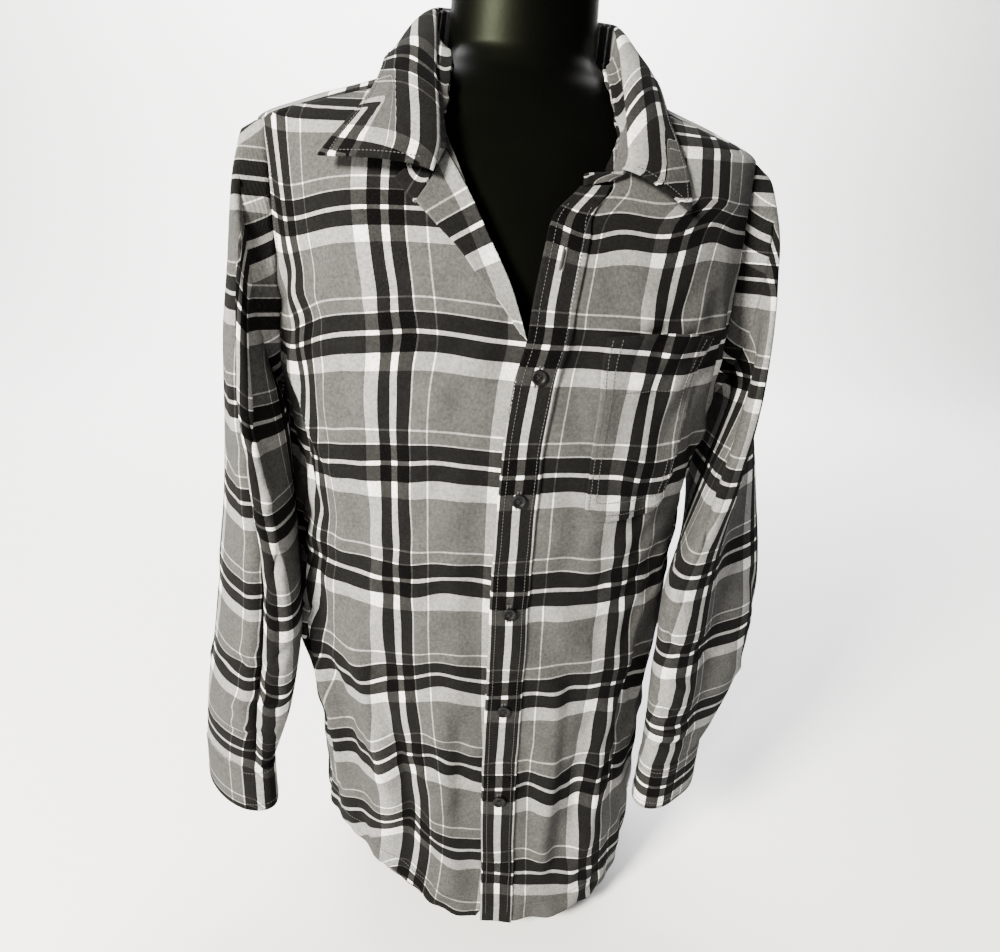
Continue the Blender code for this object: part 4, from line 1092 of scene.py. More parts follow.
def make_form_black():
    """Smooth satin black shell, with a faint unevenness in its gloss."""
    material, tree, shader = new_material("black_form")
    place = own_place(tree)
    cloud = noise(tree, place, 9, 4.0, 0.6)
    shades(tree, cloud, shader, (0.0003, 0.0003, 0.0003), (0.0010, 0.0010, 0.0008))
    gloss = tree.nodes.new("ShaderNodeMapRange")
    set_inputs(gloss, {"To Min": 0.36, "To Max": 0.50})
    tree.links.new(cloud, gloss.inputs[0])
    tree.links.new(gloss.outputs[0], shader.inputs["Roughness"])
    set_inputs(shader, {"Specular IOR Level": 0.06, "Specular Tint": (0.90, 1.0, 0.70, 1)})
    relief(tree, shader, noise(tree, place, 300, 2.0), 0.0003, 0.2)
    return material


FLANNEL = make_flannel()
BUTTON_BLACK = make_button_black()
THREAD = make_thread("grey_thread", 0.02, 0.08)
# black thread for the buttons, also laid along each buttonhole's slit as painted shade for its gap
BLACK_THREAD_AND_SLIT_SHADE = make_thread("black_thread_and_slit_shade", 0.002, 0.012)
FORM_BLACK = make_form_black()

# ---------------------------------------------------------------- thread

STITCH_PITCH, STITCH_LENGTH, THREAD_THICK = 0.0027, 0.0020, 0.00026
EDGE_ROWS, HEM_ROWS = 3, 4  # grid rows from a sheet's edge, and from its hem, to its stitching
INSET = slice(EDGE_ROWS, -EDGE_ROWS)
# a thread's four rings: share of its length, and of its thickness as half side and as rise
SPINDLE = ((-0.50, 0.25, -0.2), (-0.28, 1.00, 0.7), (0.28, 1.00, 0.7), (0.50, 0.25, -0.2))


def spindles(name, places, ways, facings, length, thick, material, slot):
    """Short threads laid on the cloth: each is a spindle of four square rings.

    The ring at a share of the length along the way has a share of the thickness as its
    half side, and its middle stands out by another share of it.
    """
    side_ways = unit(np.cross(facings, ways))
    corners = np.array([(-1, -1), (1, -1), (1, 1), (-1, 1)], float)
    rings = []
    for at, size, rise in SPINDLE:
        middle = places + ways * at * length + facings * rise * thick
        ring = middle[:, None] + side_ways[:, None] * corners[None, :, :1] * size * thick
        rings.append(ring + facings[:, None] * corners[None, :, 1:] * size * thick)
    points = np.stack(rings, 1)
    count = len(SPINDLE)
    grid = np.arange(4 * count).reshape(count, 4)
    sides = rows_of_faces(close_across(grid))
    each = np.concatenate([sides, grid[:1, ::-1], grid[-1:]])
    faces = (each[None] + 4 * count * np.arange(len(points))[:, None, None]).reshape(-1, 4)
    flat = points.reshape(-1, 3)
    first = flat[: 4 * count]
    if not facing_out(first - first.mean(axis=0), each):
        faces = faces[:, ::-1]
    piece = add_mesh(name, flat, faces)
    piece.data.materials.append(material)
    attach(piece, "root")
    return piece


def stitches(name, line, facings):
    """A row of lockstitch along a line of points."""
    length = run_along(line)
    at = np.arange(STITCH_PITCH, length[-1] - STITCH_PITCH / 2, STITCH_PITCH)
    places = points_at(line, length, at)
    facings = unit(points_at(facings, length, at))
    ways = unit(np.gradient(places, axis=0))
    return spindles(name, places, ways, facings, STITCH_LENGTH, THREAD_THICK, THREAD, "plaid_flannel")


def torso_stitches(name, angle, height, out):
    """A row of lockstitch on the torso, out metres from the innermost layer's inner face."""
    stitches(name, *cloth(angle, height, out))


# ---------------------------------------------------------------- body panels

YOKE_AXIS_FORWARD, YOKE_AXIS_DROP = 0.010, 0.10  # the axis, behind the middle and below the shoulders
SHOULDER_TOP, SHOULDER_FROM, SHOULDER_SLOPE = 0.760, 0.065, 0.30  # the shoulders fall from beside the neck
YOKE_REACH = 0.108  # from the axis to the cloth
YOKE_DRAWN = (0.022, -0.0136)  # how far its weave is drawn across and down
YOKE_TILT = 0.027  # and turned, so that both its front edges lie in one pale bar


def front_left():
    """Wearer's left front: from the band's edge to the side seam, armhole, yoke and neck."""
    front, _, _ = armhole_marks()
    side = side_edge(front)
    heights = np.linspace(HEM_FRONT, NECK[0].height, len(side))
    start = np.stack([angle_at(band_edge(heights), heights), heights], 1)
    neck = neck_marks(NECK[0].angle, YOKE_START, fine("left_neck"))
    yoke_seam = np.linspace(neck[-1], front[-1], fine("left_shoulder"))[1:]
    marks = panel_marks(start, side, np.concatenate([neck, yoke_seam]), 0)
    marks[-1, :, 1] -= 2 * SEAM
    marks[:, -1, 0] += np.degrees(SEAM / FOLD_RADIUS)
    angle, height = marks[..., 0], marks[..., 1]
    part_shell("front_left", angle, height, left_weave(angle, height))
    seam_rows("front_left", angle, height, ("hem", "side"))


def under_band(angle, height):
    """How far the right front dips to lie under the left one, near the centre."""
    points, _ = surface(TORSO, angle, height)
    part = np.clip((points[..., 0] - band_edge(height) + UNDER_BAND) / UNDER_BAND_SPAN, 0, 1)
    dip = part**2 * (3 - 2 * part)
    return -(WALL + 3 * SEAM) * dip


def right_zero(height):
    """x of the right front's own centre line, which goes straight up above the V."""
    return band_centre(np.minimum(height, V_BOTTOM))


def front_right():
    """Wearer's right front: its edge lies under the band and folds back above it."""
    front, _, _ = armhole_marks()
    side = side_edge(front)
    side[:, 0] = 180 - side[:, 0]
    heights = np.linspace(HEM_FRONT, NECK[-1].height, len(side))
    under = band_centre(heights) + UNDERLAP
    under = under - HEM_CUTAWAY * np.clip(1 - heights / CUTAWAY_HEIGHT, 0, 1) ** 1.5
    fold = smooth(column(LAPEL_FOLD, "height"), column(LAPEL_FOLD, "across"), heights)
    blend = np.clip((heights - V_BOTTOM + V_TURN_BELOW) / V_TURN_SPAN, 0, 1)
    across = under * (1 - blend) + fold * blend
    start = np.stack([angle_at(across, heights), heights], 1)
    neck = neck_marks(NECK[-1].angle, YOKE_END, fine("right_neck")) + (360, 0)
    yoke_seam = np.linspace(neck[-1], side[-1], fine("right_shoulder"))[1:]
    marks = panel_marks(start, side, np.concatenate([neck, yoke_seam]), 180)
    marks[-1, :, 1] -= SEAM
    marks[:, -1, 0] -= np.degrees(SEAM / FOLD_RADIUS)
    angle, height = marks[..., 0], marks[..., 1]
    weave = front_weave(angle, height, right_zero(height), PULLS_RIGHT, DRIFT_RIGHT)
    dip = under_band(angle, height)
    part_shell("front_right", angle, height, weave, dip)
    seam_rows("front_right", angle, height, ("hem", "side"), dip)


def back_panel():
    """One panel from side seam to side seam, and from the hem to the yoke."""
    _, _, back = armhole_marks()
    left = side_edge(back[::-1])
    right = left.copy()
    right[:, 0] = -180 - right[:, 0]
    top_angle = np.linspace(left[-1, 0], right[-1, 0], fine("back"))
    top = np.stack([top_angle, np.full(len(top_angle), YOKE_BACK)], 1)
    marks = panel_marks(left, right, top, -180)
    marks[-1, :, 1] -= SEAM
    marks[:, 0, 0] -= np.degrees(SEAM / FOLD_RADIUS)
    marks[:, -1, 0] += np.degrees(SEAM / FOLD_RADIUS)
    angle, height = marks[..., 0], marks[..., 1]
    part_shell("back", angle, height, back_weave(angle, height))
    seam_rows("back", angle, height, ("hem",))


def yoke_weave(points):
    """U to the wearer's left, V down the back: the turn about an axis inside the shoulders.

    The weave is then drawn by YOKE_DRAWN and turned a little by YOKE_TILT.
    """
    x, y, z = np.moveaxis(points, -1, 0)
    past = np.abs(x) - SHOULDER_FROM
    axis = SHOULDER_TOP - SHOULDER_SLOPE * np.clip(past, 0, None) - YOKE_AXIS_DROP
    turn = np.arctan2(y - YOKE_AXIS_FORWARD, z - axis)
    across = x * np.hypot(1, SHOULDER_SLOPE * (past > 0)) + YOKE_DRAWN[0]
    return across, turn * YOKE_REACH + x * YOKE_TILT + YOKE_DRAWN[1]


def yoke():
    """From one front seam over the shoulder, across the back and to the other front seam."""
    _, arm, _ = armhole_marks()
    back_steps = fine("yoke_back")
    across = np.linspace(arm[-1, 0], -180 - arm[-1, 0], back_steps)[1:-1]
    seam = np.stack([across, np.full(len(across), YOKE_BACK)], 1)
    other = arm[::-1].copy()
    other[:, 0] = -180 - other[:, 0]
    low = np.concatenate([arm, seam, other])
    fan = smooth(np.arange(len(YOKE_FAN)), YOKE_FAN, np.linspace(0, len(YOKE_FAN) - 1, len(arm)))
    behind = np.linspace(fan[-1], -180 - fan[-1], back_steps)[1:-1]
    high_angle = np.concatenate([fan, behind, (-180 - fan)[::-1]])
    high_height = smooth(-column(NECK, "angle"), column(NECK, "height"), -high_angle)
    high = np.stack([high_angle, high_height], 1)
    up = np.linspace(0, 1, fine("yoke"))[:, None, None]
    angle, height = np.moveaxis(low * (1 - up) + high * up, -1, 0)
    points, _ = cloth(angle, height)
    part_shell("yoke", angle, height, yoke_weave(points))
    armhole = len(arm) - 1 + EDGE_ROWS
    seam = slice(armhole, -armhole)
    torso_stitches("yoke_stitches", angle[EDGE_ROWS, seam], height[EDGE_ROWS, seam], WALL)


# ---------------------------------------------------------------- sleeves and cuffs

# in braces: the wearer's left sleeve is side 1, and the right one side -1
SLEEVE_QUIET = 1.2  # the creases come in over this many rows of the table, and go over its last
SLEEVE_WARP = {1: 0.34, -1: 0.28}  # of the way round each sleeve, a warp motif
SLEEVE_JOG = {1: 0.0, -1: 0.020}  # how far the weft sits lower on the inner lobe
JOG_WIDTH, SEAM_FADE = 0.012, 0.1  # of the way round, where the jog comes in at the motif and at the seam
SLEEVE_MOTIF = {1: 0.534, -1: 0.658}  # height of a weft motif on each sleeve
SLEEVE_DRIFT = {1: 1.25, -1: 1.23}  # its weft bands lie this much closer than the weave's, by slack taken up


def sleeve_rings(rows, side, count):
    """Rings of a hanging sleeve: the first on the armhole, the others from the table.

    A ring is an oval with a long half axis (front to back when turn is 0) and a short
    one (inner to outer side); its height falls from the outer to the inner side, and a
    lengthwise crease is pressed into it.
    """
    front, top, back = armhole_marks()
    marks = np.concatenate([front, top[1:], back[1:-1]])
    if side < 0:
        marks[:, 0] = 180 - marks[:, 0]
    hole, normals = cloth(marks[:, 0], marks[:, 1])
    length = run_along(close_ring(hole))
    half = int(np.argmax(marks[:, 1]))
    phase = np.interp(length[:-1], [0, length[half], length[-1]], [0, 180, 360])
    at = np.linspace(0, len(rows) - 1, count)
    sizes = {name: smooth(np.arange(len(rows)), column(rows, name), at) for name in Ring._fields}
    turn, angle = np.radians(sizes["turn"])[:, None], np.radians(phase)[None]
    cos_turn, sin_turn, cosine, sine = np.cos(turn), np.sin(turn), np.cos(angle), np.sin(angle)
    away = (phase[None] - CREASE_AT[side]) / CREASE_WIDTH
    dent = sizes["crease"][:, None] * np.exp(-(away**2))
    long = sizes["long"][:, None] - dent * np.abs(sine)
    short = sizes["short"][:, None] - dent * np.abs(cosine)
    out, forward = -short * cosine, long * sine
    across = sizes["across"][:, None] + out * cos_turn - forward * sin_turn
    deep = sizes["forward"][:, None] - out * sin_turn - forward * cos_turn
    middle = (sizes["outer"] + sizes["inner"])[:, None] / 2
    tilt = (sizes["outer"] - sizes["inner"])[:, None] / 2
    height = middle - tilt * cosine
    rings = np.stack([side * across, deep, height], -1)
    flat = np.stack([-cosine * cos_turn * side, cosine * sin_turn, 0 * height], -1)
    tips = np.stack([-sine * sin_turn * side, -sine * cos_turn, 0 * height], -1)
    out_way = unit(flat / short[..., None] + tips / long[..., None])
    quiet = np.clip(at / SLEEVE_QUIET, 0, 1) * np.clip(len(rows) - 1 - at, 0, 1)
    rise = bars(SLEEVE_CREASES[side], phase[None], height, SLEEVE_RADIUS) * quiet[:, None]
    return hole, normals, rings + out_way * rise[..., None]


def ring_weave(base, side):
    """U round the sleeve from its inner side, and V down it from a motif's height."""
    closed = close_across(base)
    around = lengths(closed, 1)
    part = around / around[:, -1:]
    inner = np.clip(part / SEAM_FADE, 0, 1) / (1 + np.exp((part - SLEEVE_WARP[side]) / JOG_WIDTH))
    down = (SLEEVE_MOTIF[side] - closed[..., 2]) * SLEEVE_DRIFT[side] - SLEEVE_JOG[side] * inner
    return around - SLEEVE_WARP[side] * around[:, -1:], down


def sleeve(name, rows, side):
    """A hanging sleeve: a short lead from the armhole's edge, and then its rings."""
    hole, hole_normals, rings = sleeve_rings(rows, side, fine("sleeve"))
    edge = np.roll(hole, -1, axis=0) - np.roll(hole, 1, axis=0)
    into = unit(np.cross(hole_normals, edge))
    if np.einsum("ij,ij->", into, hole.mean(axis=0) - hole) < 0:
        into = -into
    first = hole + into * 3 * SEAM
    start = np.linspace(0, 1, FINE, endpoint=False)[:, None, None]
    lead = first[None] * (1 - start) + rings[:1] * start
    base = np.concatenate([lead, rings])
    normals = tube_normals(base)
    normals[0] = hole_normals
    normals[-1, :, 2] = 0
    weave = repeats(*ring_weave(base, side))
    sheet(name + "_cloth", name, base + normals * WALL, base, weave, ring=True)


def cuff(name, rows, side):
    """A band that goes on from the sleeve's last ring and falls straight."""
    _, _, rings = sleeve_rings(rows, side, STEPS["sleeve"] + 1)
    last = rings[-1]
    centre = last.mean(axis=0)
    drop = np.linspace(0, 1, fine("cuff"))[:, None, None]
    base = centre + (last - centre) * (1 + CUFF_FLARE * drop)
    base[..., 2] = centre[2] - 2 * SEAM - CUFF_HEIGHT * drop[..., 0]
    normals = unit(tube_normals(base) * (1, 1, 0))
    weave = repeats(*ring_weave(base, side))
    outer = base + normals * DOUBLE_WALL
    sheet(name + "_cloth", name, outer, base, weave, ring=True)
    for row in (EDGE_ROWS, -1 - EDGE_ROWS):
        stitches(f"{name}_stitches_{abs(row)}", close_ring(outer[row]), close_ring(normals[row]))
    spot = round(CUFF_BUTTON_PHASE * base.shape[1])
    row = base.shape[0] // 2
    place = base[:, spot].mean(axis=0) + normals[row, spot] * (DOUBLE_WALL + SEAM)
    button(name + "_button", place, normals[row, spot])


# ---------------------------------------------------------------- band, pocket, lapel

LAPEL_ZERO, LAPEL_TILT = -0.013, 0.45  # its weft bars slope down towards the fold


def band():
    """The buttonhole band, laid on the left front along its edge."""
    heights = np.linspace(HEM_FRONT, NECK[0].height - SEAM, fine("band"))
    width = BAND_WIDTH - BAND_TAPER * np.clip((heights - TAPER_START) / TAPER_LENGTH, 0, 1)
    steps = np.linspace(0, 1, fine("band_width"))
    across = band_edge(heights)[:, None] + width[:, None] * steps
    tall = np.repeat(heights[:, None], len(steps), 1)
    tall[0] = hem(angle_at(across[0], tall[0]))
    tall[-1] = tall[-1] + BAND_SLANT * steps
    angle = angle_at(across, tall)
    weave = left_weave(angle, tall)
    part_shell("band", angle, tall, weave, WALL + 2 * SEAM, BAND_WALL)
    skin = np.full(len(angle[INSET]), WALL + 2 * SEAM + BAND_WALL)
    for side, line in (("edge", EDGE_ROWS), ("inner", -1 - EDGE_ROWS)):
        torso_stitches(f"band_stitches_{side}", angle[INSET, line], tall[INSET, line], skin)


def lapel():
    """The right front's edge, folded back above the V and laid on the chest.

    A pale warp stripe runs along the fold.
    """
    count, steps = fine("lapel"), np.linspace(0, 1, fine("lapel_width"))
    fold = along(LAPEL_FOLD, count, ("across", "height"))
    edge = along(LAPEL_EDGE, count, ("across", "height"))
    part = steps[None, :, None]
    grid = fold[:, None] * (1 - part) + edge[:, None] * part
    across, height = grid[..., 0], grid[..., 1]
    rise = np.linspace(0, 1, count)[:, None]
    out = WALL + 2 * SEAM + (LAPEL_NEAR + LAPEL_LIFT * rise**2) * steps**1.5
    angle = angle_at(across, height)
    points, _ = cloth(angle, height)
    width = lengths(points, 1)
    run = lengths(points, 0)[:, :1]
    weave = (-WARP_MOTIF - width, LAPEL_ZERO - run + LAPEL_TILT * width)
    part_shell("lapel", angle, height, weave, out, LAPEL_WALL)


def pucker(steps, rise):
    """Small gathers along the pocket's sides: two crossed waves, which fade over a tenth of its width."""
    near = np.exp(-((steps / 0.10) ** 2)) + np.exp(-(((1 - steps) / 0.14) ** 2))
    return near * np.clip(np.sin(rise * 61) * np.sin(rise * 23 + 1), 0, 1)


def round_pocket(grid, inset):
    """The grid's values down one side, along the bottom and up the other side."""
    return np.concatenate([grid[:inset:-1, inset], grid[inset, inset:-inset], grid[inset:, -1 - inset]])


def pocket():
    """A patch pocket on the wearer's left chest, its mouth standing off a little."""
    steps = np.linspace(0, 1, fine("pocket"))
    rise = steps[:, None]
    low = POCKET_BOTTOM + POCKET_CORNER * np.abs(2 * steps - 1) ** 6
    top = POCKET_TOP + POCKET_SAG * np.sin(np.pi * steps)
    height = low * (1 - rise) + top * rise
    right = smooth(column(POCKET_SIDE, "height"), column(POCKET_SIDE, "across"), height)
    across = POCKET_LEFT + (right - POCKET_LEFT) * steps
    bulge = POCKET_GAPE * np.sin(np.pi * steps) ** 0.7 * rise**5 + POCKET_PUCKER * pucker(steps, rise)
    angle = angle_at(across, height)
    out = WALL + 2 * SEAM + bulge
    part_shell("pocket", angle, height, left_weave(angle, height), out, POCKET_WALL)
    stitched = (angle, height, out + POCKET_WALL)
    for row_name, inset in POCKET_SEAMS:
        torso_stitches(f"pocket_stitches_{row_name}", *(round_pocket(grid, inset) for grid in stitched))
    hem_row = round(POCKET_HEM * (len(rise) - 1))
    torso_stitches("pocket_stitches_hem", *(grid[hem_row] for grid in stitched))


# ---------------------------------------------------------------- collar

ROLL_MOTIF, EDGE_MOTIF = 0.015, 0.010  # from the roll line and the outer edge to a motif's middle
MOTIF_HALF = 0.0125
PLAIN_LEAST = 0.004  # the narrowest that the plain grey between two motifs can be
WIDE_FROM, WIDE_OVER = 0.045, 0.015  # the leaf's width at which it holds a second motif
LEAF_ZERO = -0.0185  # the weft's place at the nape
COLLAR_STRETCH, NAPE_RUN = 0.14, 0.19  # the weft is spread by this much, up to so far round from the nape
LEAF_JOG = 0.011  # how far out the motifs lie on its left front, beyond LEAF_JOG_FROM round the neck
LEAF_JOG_FROM, LEAF_JOG_OVER = 0.07, 0.06
STAND_ZERO = 0.020  # the stand's foot, in the warp
ROLL_GAP = DOUBLE_WALL + 3 * SEAM  # the leaf's inner face starts this far from the stand's
LEAF_END_FADE = 3 * FINE  # grid lines, over twice which the leaf comes off the stand's right end


def collar_stations():
    """Marks round the collar from the leaf's left end to where the right front folds back."""
    left = neck_marks(LEAF_START, YOKE_START, fine("collar_left"))
    behind = neck_marks(YOKE_START, YOKE_END, fine("collar_back"))
    right = neck_marks(YOKE_END, NECK[-1].angle, fine("collar_right"))
    return np.concatenate([left[:-1], behind, right[1:]])


def collar_points(angle, prefix):
    """Points of the roll line or of the leaf's edge at these angles."""
    keys = -column(COLLAR, "angle")
    return np.stack([smooth(keys, column(COLLAR, prefix + axis), -angle) for axis in "xyz"], -1)


def outward(base):
    """Normals of a grid round the collar, away from the neck at the back."""
    normals = grid_normals(base)
    middle = base.shape[1] // 2
    if normals[1, middle, 1] < 0:
        normals = -normals
    return normals


def soften(values, reach):
    """Each row becomes the mean of the rows within reach of it, twice over."""
    for _ in range(2):
        first, last = np.repeat(values[:1], reach, 0), np.repeat(values[-1:], reach, 0)
        padded = np.concatenate([first, values, last])
        total = np.cumsum(np.concatenate([np.zeros_like(padded[:1]), padded]), 0)
        values = (total[2 * reach + 1 :] - total[: -2 * reach - 1]) / (2 * reach + 1)
    return values


def soften_columns(grid, reach):
    """Each column becomes the mean of the columns within reach of it, twice over."""
    return np.swapaxes(soften(np.swapaxes(grid, 0, 1), reach), 0, 1)


def carried_on(line, ends):
    """The line, and a smooth curve from its last point through two more."""
    at = np.linspace(0, 2, fine("stand_end"))[1:]
    last = np.concatenate([line[-1:], ends])
    return np.concatenate([line, np.stack([smooth([0, 1, 2], values, at) for values in last.T], 1)])


def stand_grid():
    """Inner face of the collar stand, as rows from the neckline up to the roll line.

    Its foot is set off from the panels three times over, by more where its wall's
    outer face leans towards them.
    """
    lead = neck_marks(NECK[0].angle, LEAF_START, fine("stand_end"))[:-1]
    marks = np.concatenate([lead, collar_stations()])
    roll = collar_points(marks[:, 0], "roll_")
    feet, rims = np.hsplit(np.array(STAND_TURNED), 2)
    up = np.linspace(0, 1, fine("stand"))[:, None, None]
    lift = np.full(len(marks), WALL + SEAT_GAP)
    for _ in range(3):
        seat, panel_normals = cloth(marks[:, 0], marks[:, 1], lift)
        seats = carried_on(seat + (0, 0, COLLAR_LIFT), feet)
        base = seats * (1 - up) + carried_on(roll, rims) * up
        normals = unit(soften_columns(outward(base), FINE))
        facing = np.einsum("ij,ij->i", normals[0, : len(marks)], panel_normals)
        lift = WALL + SEAT_GAP + soften(DOUBLE_WALL * np.maximum(0, -facing), FINE)
    return base, normals


def collar_run(base):
    """Distance round the collar along its upper edge, from its middle to the wearer's left."""
    run = lengths(base, 1)
    return run[:, base.shape[1] // 2][:, None] - run


def leaf_weave(leaf):
    """U out from the roll line and V round the neck.

    Where the leaf is wide, the plain grey between a motif beside the roll line and
    one inside the outer edge is partly taken up. On the wearer's left front the
    motifs lie further out, by LEAF_JOG. Round the nape the weft bars are spread by
    COLLAR_STRETCH.
    """
    out = lengths(leaf, 0)
    width = out[-1:]
    free = width - ROLL_MOTIF - EDGE_MOTIF
    plain = np.maximum(free - 2 * MOTIF_HALF, PLAIN_LEAST)
    grey = np.clip((out - ROLL_MOTIF - MOTIF_HALF) / plain, 0, 1)
    wide = np.clip((width - WIDE_FROM) / WIDE_OVER, 0, 1)
    taken_up = (WARP_REPEAT - free) * grey * wide
    run = collar_run(leaf)
    on_left = np.clip((run - LEAF_JOG_FROM) / LEAF_JOG_OVER, 0, 1)
    down = run - COLLAR_STRETCH * np.clip(run, -NAPE_RUN, NAPE_RUN) + LEAF_ZERO
    return out - ROLL_MOTIF + taken_up - LEAF_JOG * on_left, down


def collar():
    """The stand round the neck, and the leaf that folds over its upper edge.

    The leaf starts off the stand's rim by ROLL_GAP, less where the rim's face looks
    down, and bows out by LEAF_BULGE on its way to its edge.
    """
    base, normals = stand_grid()
    weave = repeats(lengths(base, 0) + STAND_ZERO, collar_run(base))
    outer = base + normals * DOUBLE_WALL
    sheet("collar_stand_cloth", "collar_stand", outer, base, weave)
    skip = fine("stand_end") - 1
    stations = collar_stations()
    ends = np.linspace(NECK[-1].angle, LEAF_END, fine("stand_end"))[1:]
    angle = np.concatenate([stations[:, 0], ends])
    start = collar_points(angle, "roll_")
    stand_up = unit(base[-1, skip:] - base[0, skip:])
    sideways = normals[-1, skip:] * np.clip(1 + 2 * normals[-1, skip:, 2:], 0, 1)
    fade = np.clip(np.arange(len(angle))[::-1, None] / LEAF_END_FADE - 1, 0, 1)
    start = start + soften(sideways * fade, FINE) * ROLL_GAP + soften(stand_up, FINE) * 3 * SEAM
    edge = collar_points(angle, "edge_")
    part = np.linspace(0, 1, fine("leaf"))[:, None, None]
    leaf = start * (1 - part) + edge * part
    rounding = unit(np.cross(edge - start, np.gradient(start, axis=0)))
    if rounding[len(rounding) // 2, 2] < 0:
        rounding = -rounding
    leaf = leaf + rounding * LEAF_BULGE * np.sin(np.pi * part**0.7)
    leaf_normals = unit(soften_columns(outward(leaf), FINE // 2))
    outer = leaf + leaf_normals * DOUBLE_WALL
    weave = repeats(*leaf_weave(leaf))
    sheet("collar_leaf_cloth", "collar_leaf", outer, leaf, weave)
    last = -1 - EDGE_ROWS
    for side, line in (("edge", (last, INSET)), ("left", (INSET, EDGE_ROWS)), ("right", (INSET, last))):
        stitches(f"collar_stitches_{side}", outer[line], leaf_normals[line])


# ---------------------------------------------------------------- buttons

# the button's profile from its sunk middle over the rim to its foot, in shares of its radius and thickness
BUTTON_PROFILE = (
    (0.001, 0.58),
    (0.30, 0.58),
    (0.52, 0.62),
    (0.62, 0.74),
    (0.72, 0.94),
    (0.84, 1.00),
    (0.95, 0.90),
    (1.00, 0.66),
    (1.00, 0.34),
    (0.95, 0.12),
    (0.84, 0.00),
    (0.001, 0.00),
)
BUTTON_SIDES = 48
SUNK = 0.60  # of its thickness, the height of its sunk middle
HOLE_SPREAD = 0.0012
HOLE_LENGTH, CROSS_LENGTH, BUTTON_THREAD = 0.0012, 0.0042, 0.0004
CROSS_LIFT = 0.0003  # one thread lies this far over the other
BUTTONHOLE_LENGTH, BUTTONHOLE_HALF = 0.0145, 0.0011
BUTTONHOLE_STITCHES, BUTTONHOLE_STITCH = 27, 0.0018  # along each side, and how long each is
OPEN_BUTTONHOLE = (0.019, 0.619)  # x and height of the one above the top button


def axes_of(facing):
    """Unit vectors to the right and up on a face that looks this way."""
    right = unit(np.cross((0.0, 0.0, 1.0), facing))
    return right, np.cross(facing, right)


def button(name, place, facing):
    """A four-hole button: a turned profile with a rolled rim and a sunk middle."""
    turn = np.linspace(0, 2 * np.pi, BUTTON_SIDES, endpoint=False)
    right, up = axes_of(facing)
    profile = np.array(BUTTON_PROFILE)
    rim = np.cos(turn)[None, :, None] * right + np.sin(turn)[None, :, None] * up
    rings = rim * (profile[:, :1, None] * BUTTON_RADIUS) + profile[:, 1:, None] * BUTTON_THICKNESS * facing
    points = rings.reshape(-1, 3)
    grid = close_ring(np.arange(len(points)).reshape(len(profile), BUTTON_SIDES))
    faces = rows_of_faces(close_across(grid))
    piece = add_mesh(name + "_rim", place + points, turned_out(points, faces))
    piece.data.materials.append(BUTTON_BLACK)
    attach(piece, "root")
    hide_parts(name)
    sunk = place + facing * BUTTON_THICKNESS * SUNK
    holes = np.array([(1, 1), (-1, 1), (-1, -1), (1, -1)]) * HOLE_SPREAD
    spots = sunk + holes[:, :1] * right + holes[:, 1:] * up
    ways = unit(np.stack([spots[0] - spots[2], spots[1] - spots[3]]))
    threads = np.stack([sunk, sunk + facing * CROSS_LIFT])
    for part, places, part_ways, length in (
        ("_holes", spots, np.repeat(ways[:1], len(spots), 0), HOLE_LENGTH),
        ("_thread", threads, ways, CROSS_LENGTH),
    ):
        facings = np.repeat(facing[None], len(places), 0)
        spindles(name + part, places, part_ways, facings, length, BUTTON_THREAD, BLACK_THREAD_AND_SLIT_SHADE, "black_button")


def buttonhole(name, across, height):
    """An upright slit in the band with thread worked round it, across the slit's edge; a thin black stick
    along the slit is painted shade for its gap.
    """
    tall = height + np.linspace(-0.5, 0.5, BUTTONHOLE_STITCHES) * BUTTONHOLE_LENGTH
    middle = across + (band_centre(tall) - band_centre(np.array([height])))
    out = WALL + 2 * SEAM + BAND_WALL
    line, facings = cloth(angle_at(middle, tall), tall, out)
    up = unit(np.gradient(line, axis=0))
    sides = unit(np.cross(facings, up))
    places = np.concatenate([line - sides * BUTTONHOLE_HALF, line + sides * BUTTONHOLE_HALF])
    worked = (places, np.tile(sides, (2, 1)), np.tile(facings, (2, 1)))
    spindles(name + "_thread", *worked, BUTTONHOLE_STITCH, THREAD_THICK, THREAD, "plaid_flannel")
    # a thin black stick along the slit: painted shade where the gap shows the cloth beneath
    half = slice(len(line) // 2, len(line) // 2 + 1)
    slit = (line[half], up[half], facings[half])
    spindles(name + "_painted_slit_shade", *slit, BUTTONHOLE_LENGTH, BUTTON_THREAD, BLACK_THREAD_AND_SLIT_SHADE, "plaid_flannel")


def front_buttons():
    """The five fastened buttons in their buttonholes, and the open buttonhole above them."""
    for number, height in enumerate(BUTTON_HEIGHTS, 1):
        spot = np.array([height])
        across = band_centre(spot)
        place, facing = cloth(angle_at(across, spot), spot, WALL + BAND_WALL + 4 * SEAM)
        button(f"button_{number}", place[0], facing[0])
        buttonhole(f"buttonhole_{number}", across, height)
    buttonhole("buttonhole_open", *OPEN_BUTTONHOLE)


# ---------------------------------------------------------------- dress form

FORM_SIDES = 144
FORM_SPLIT = 0.69  # height above which its rows are closer together
FORM_ROWS_BELOW, FORM_ROWS_ABOVE = 90, 60
POLE = 0.001  # the share of a ring that closes its pole
CROWN = ((0.97, 0.0025), (0.90, 0.0045), (0.6, 0.005), (POLE, 0.005))  # the neck's rounded top: share, rise


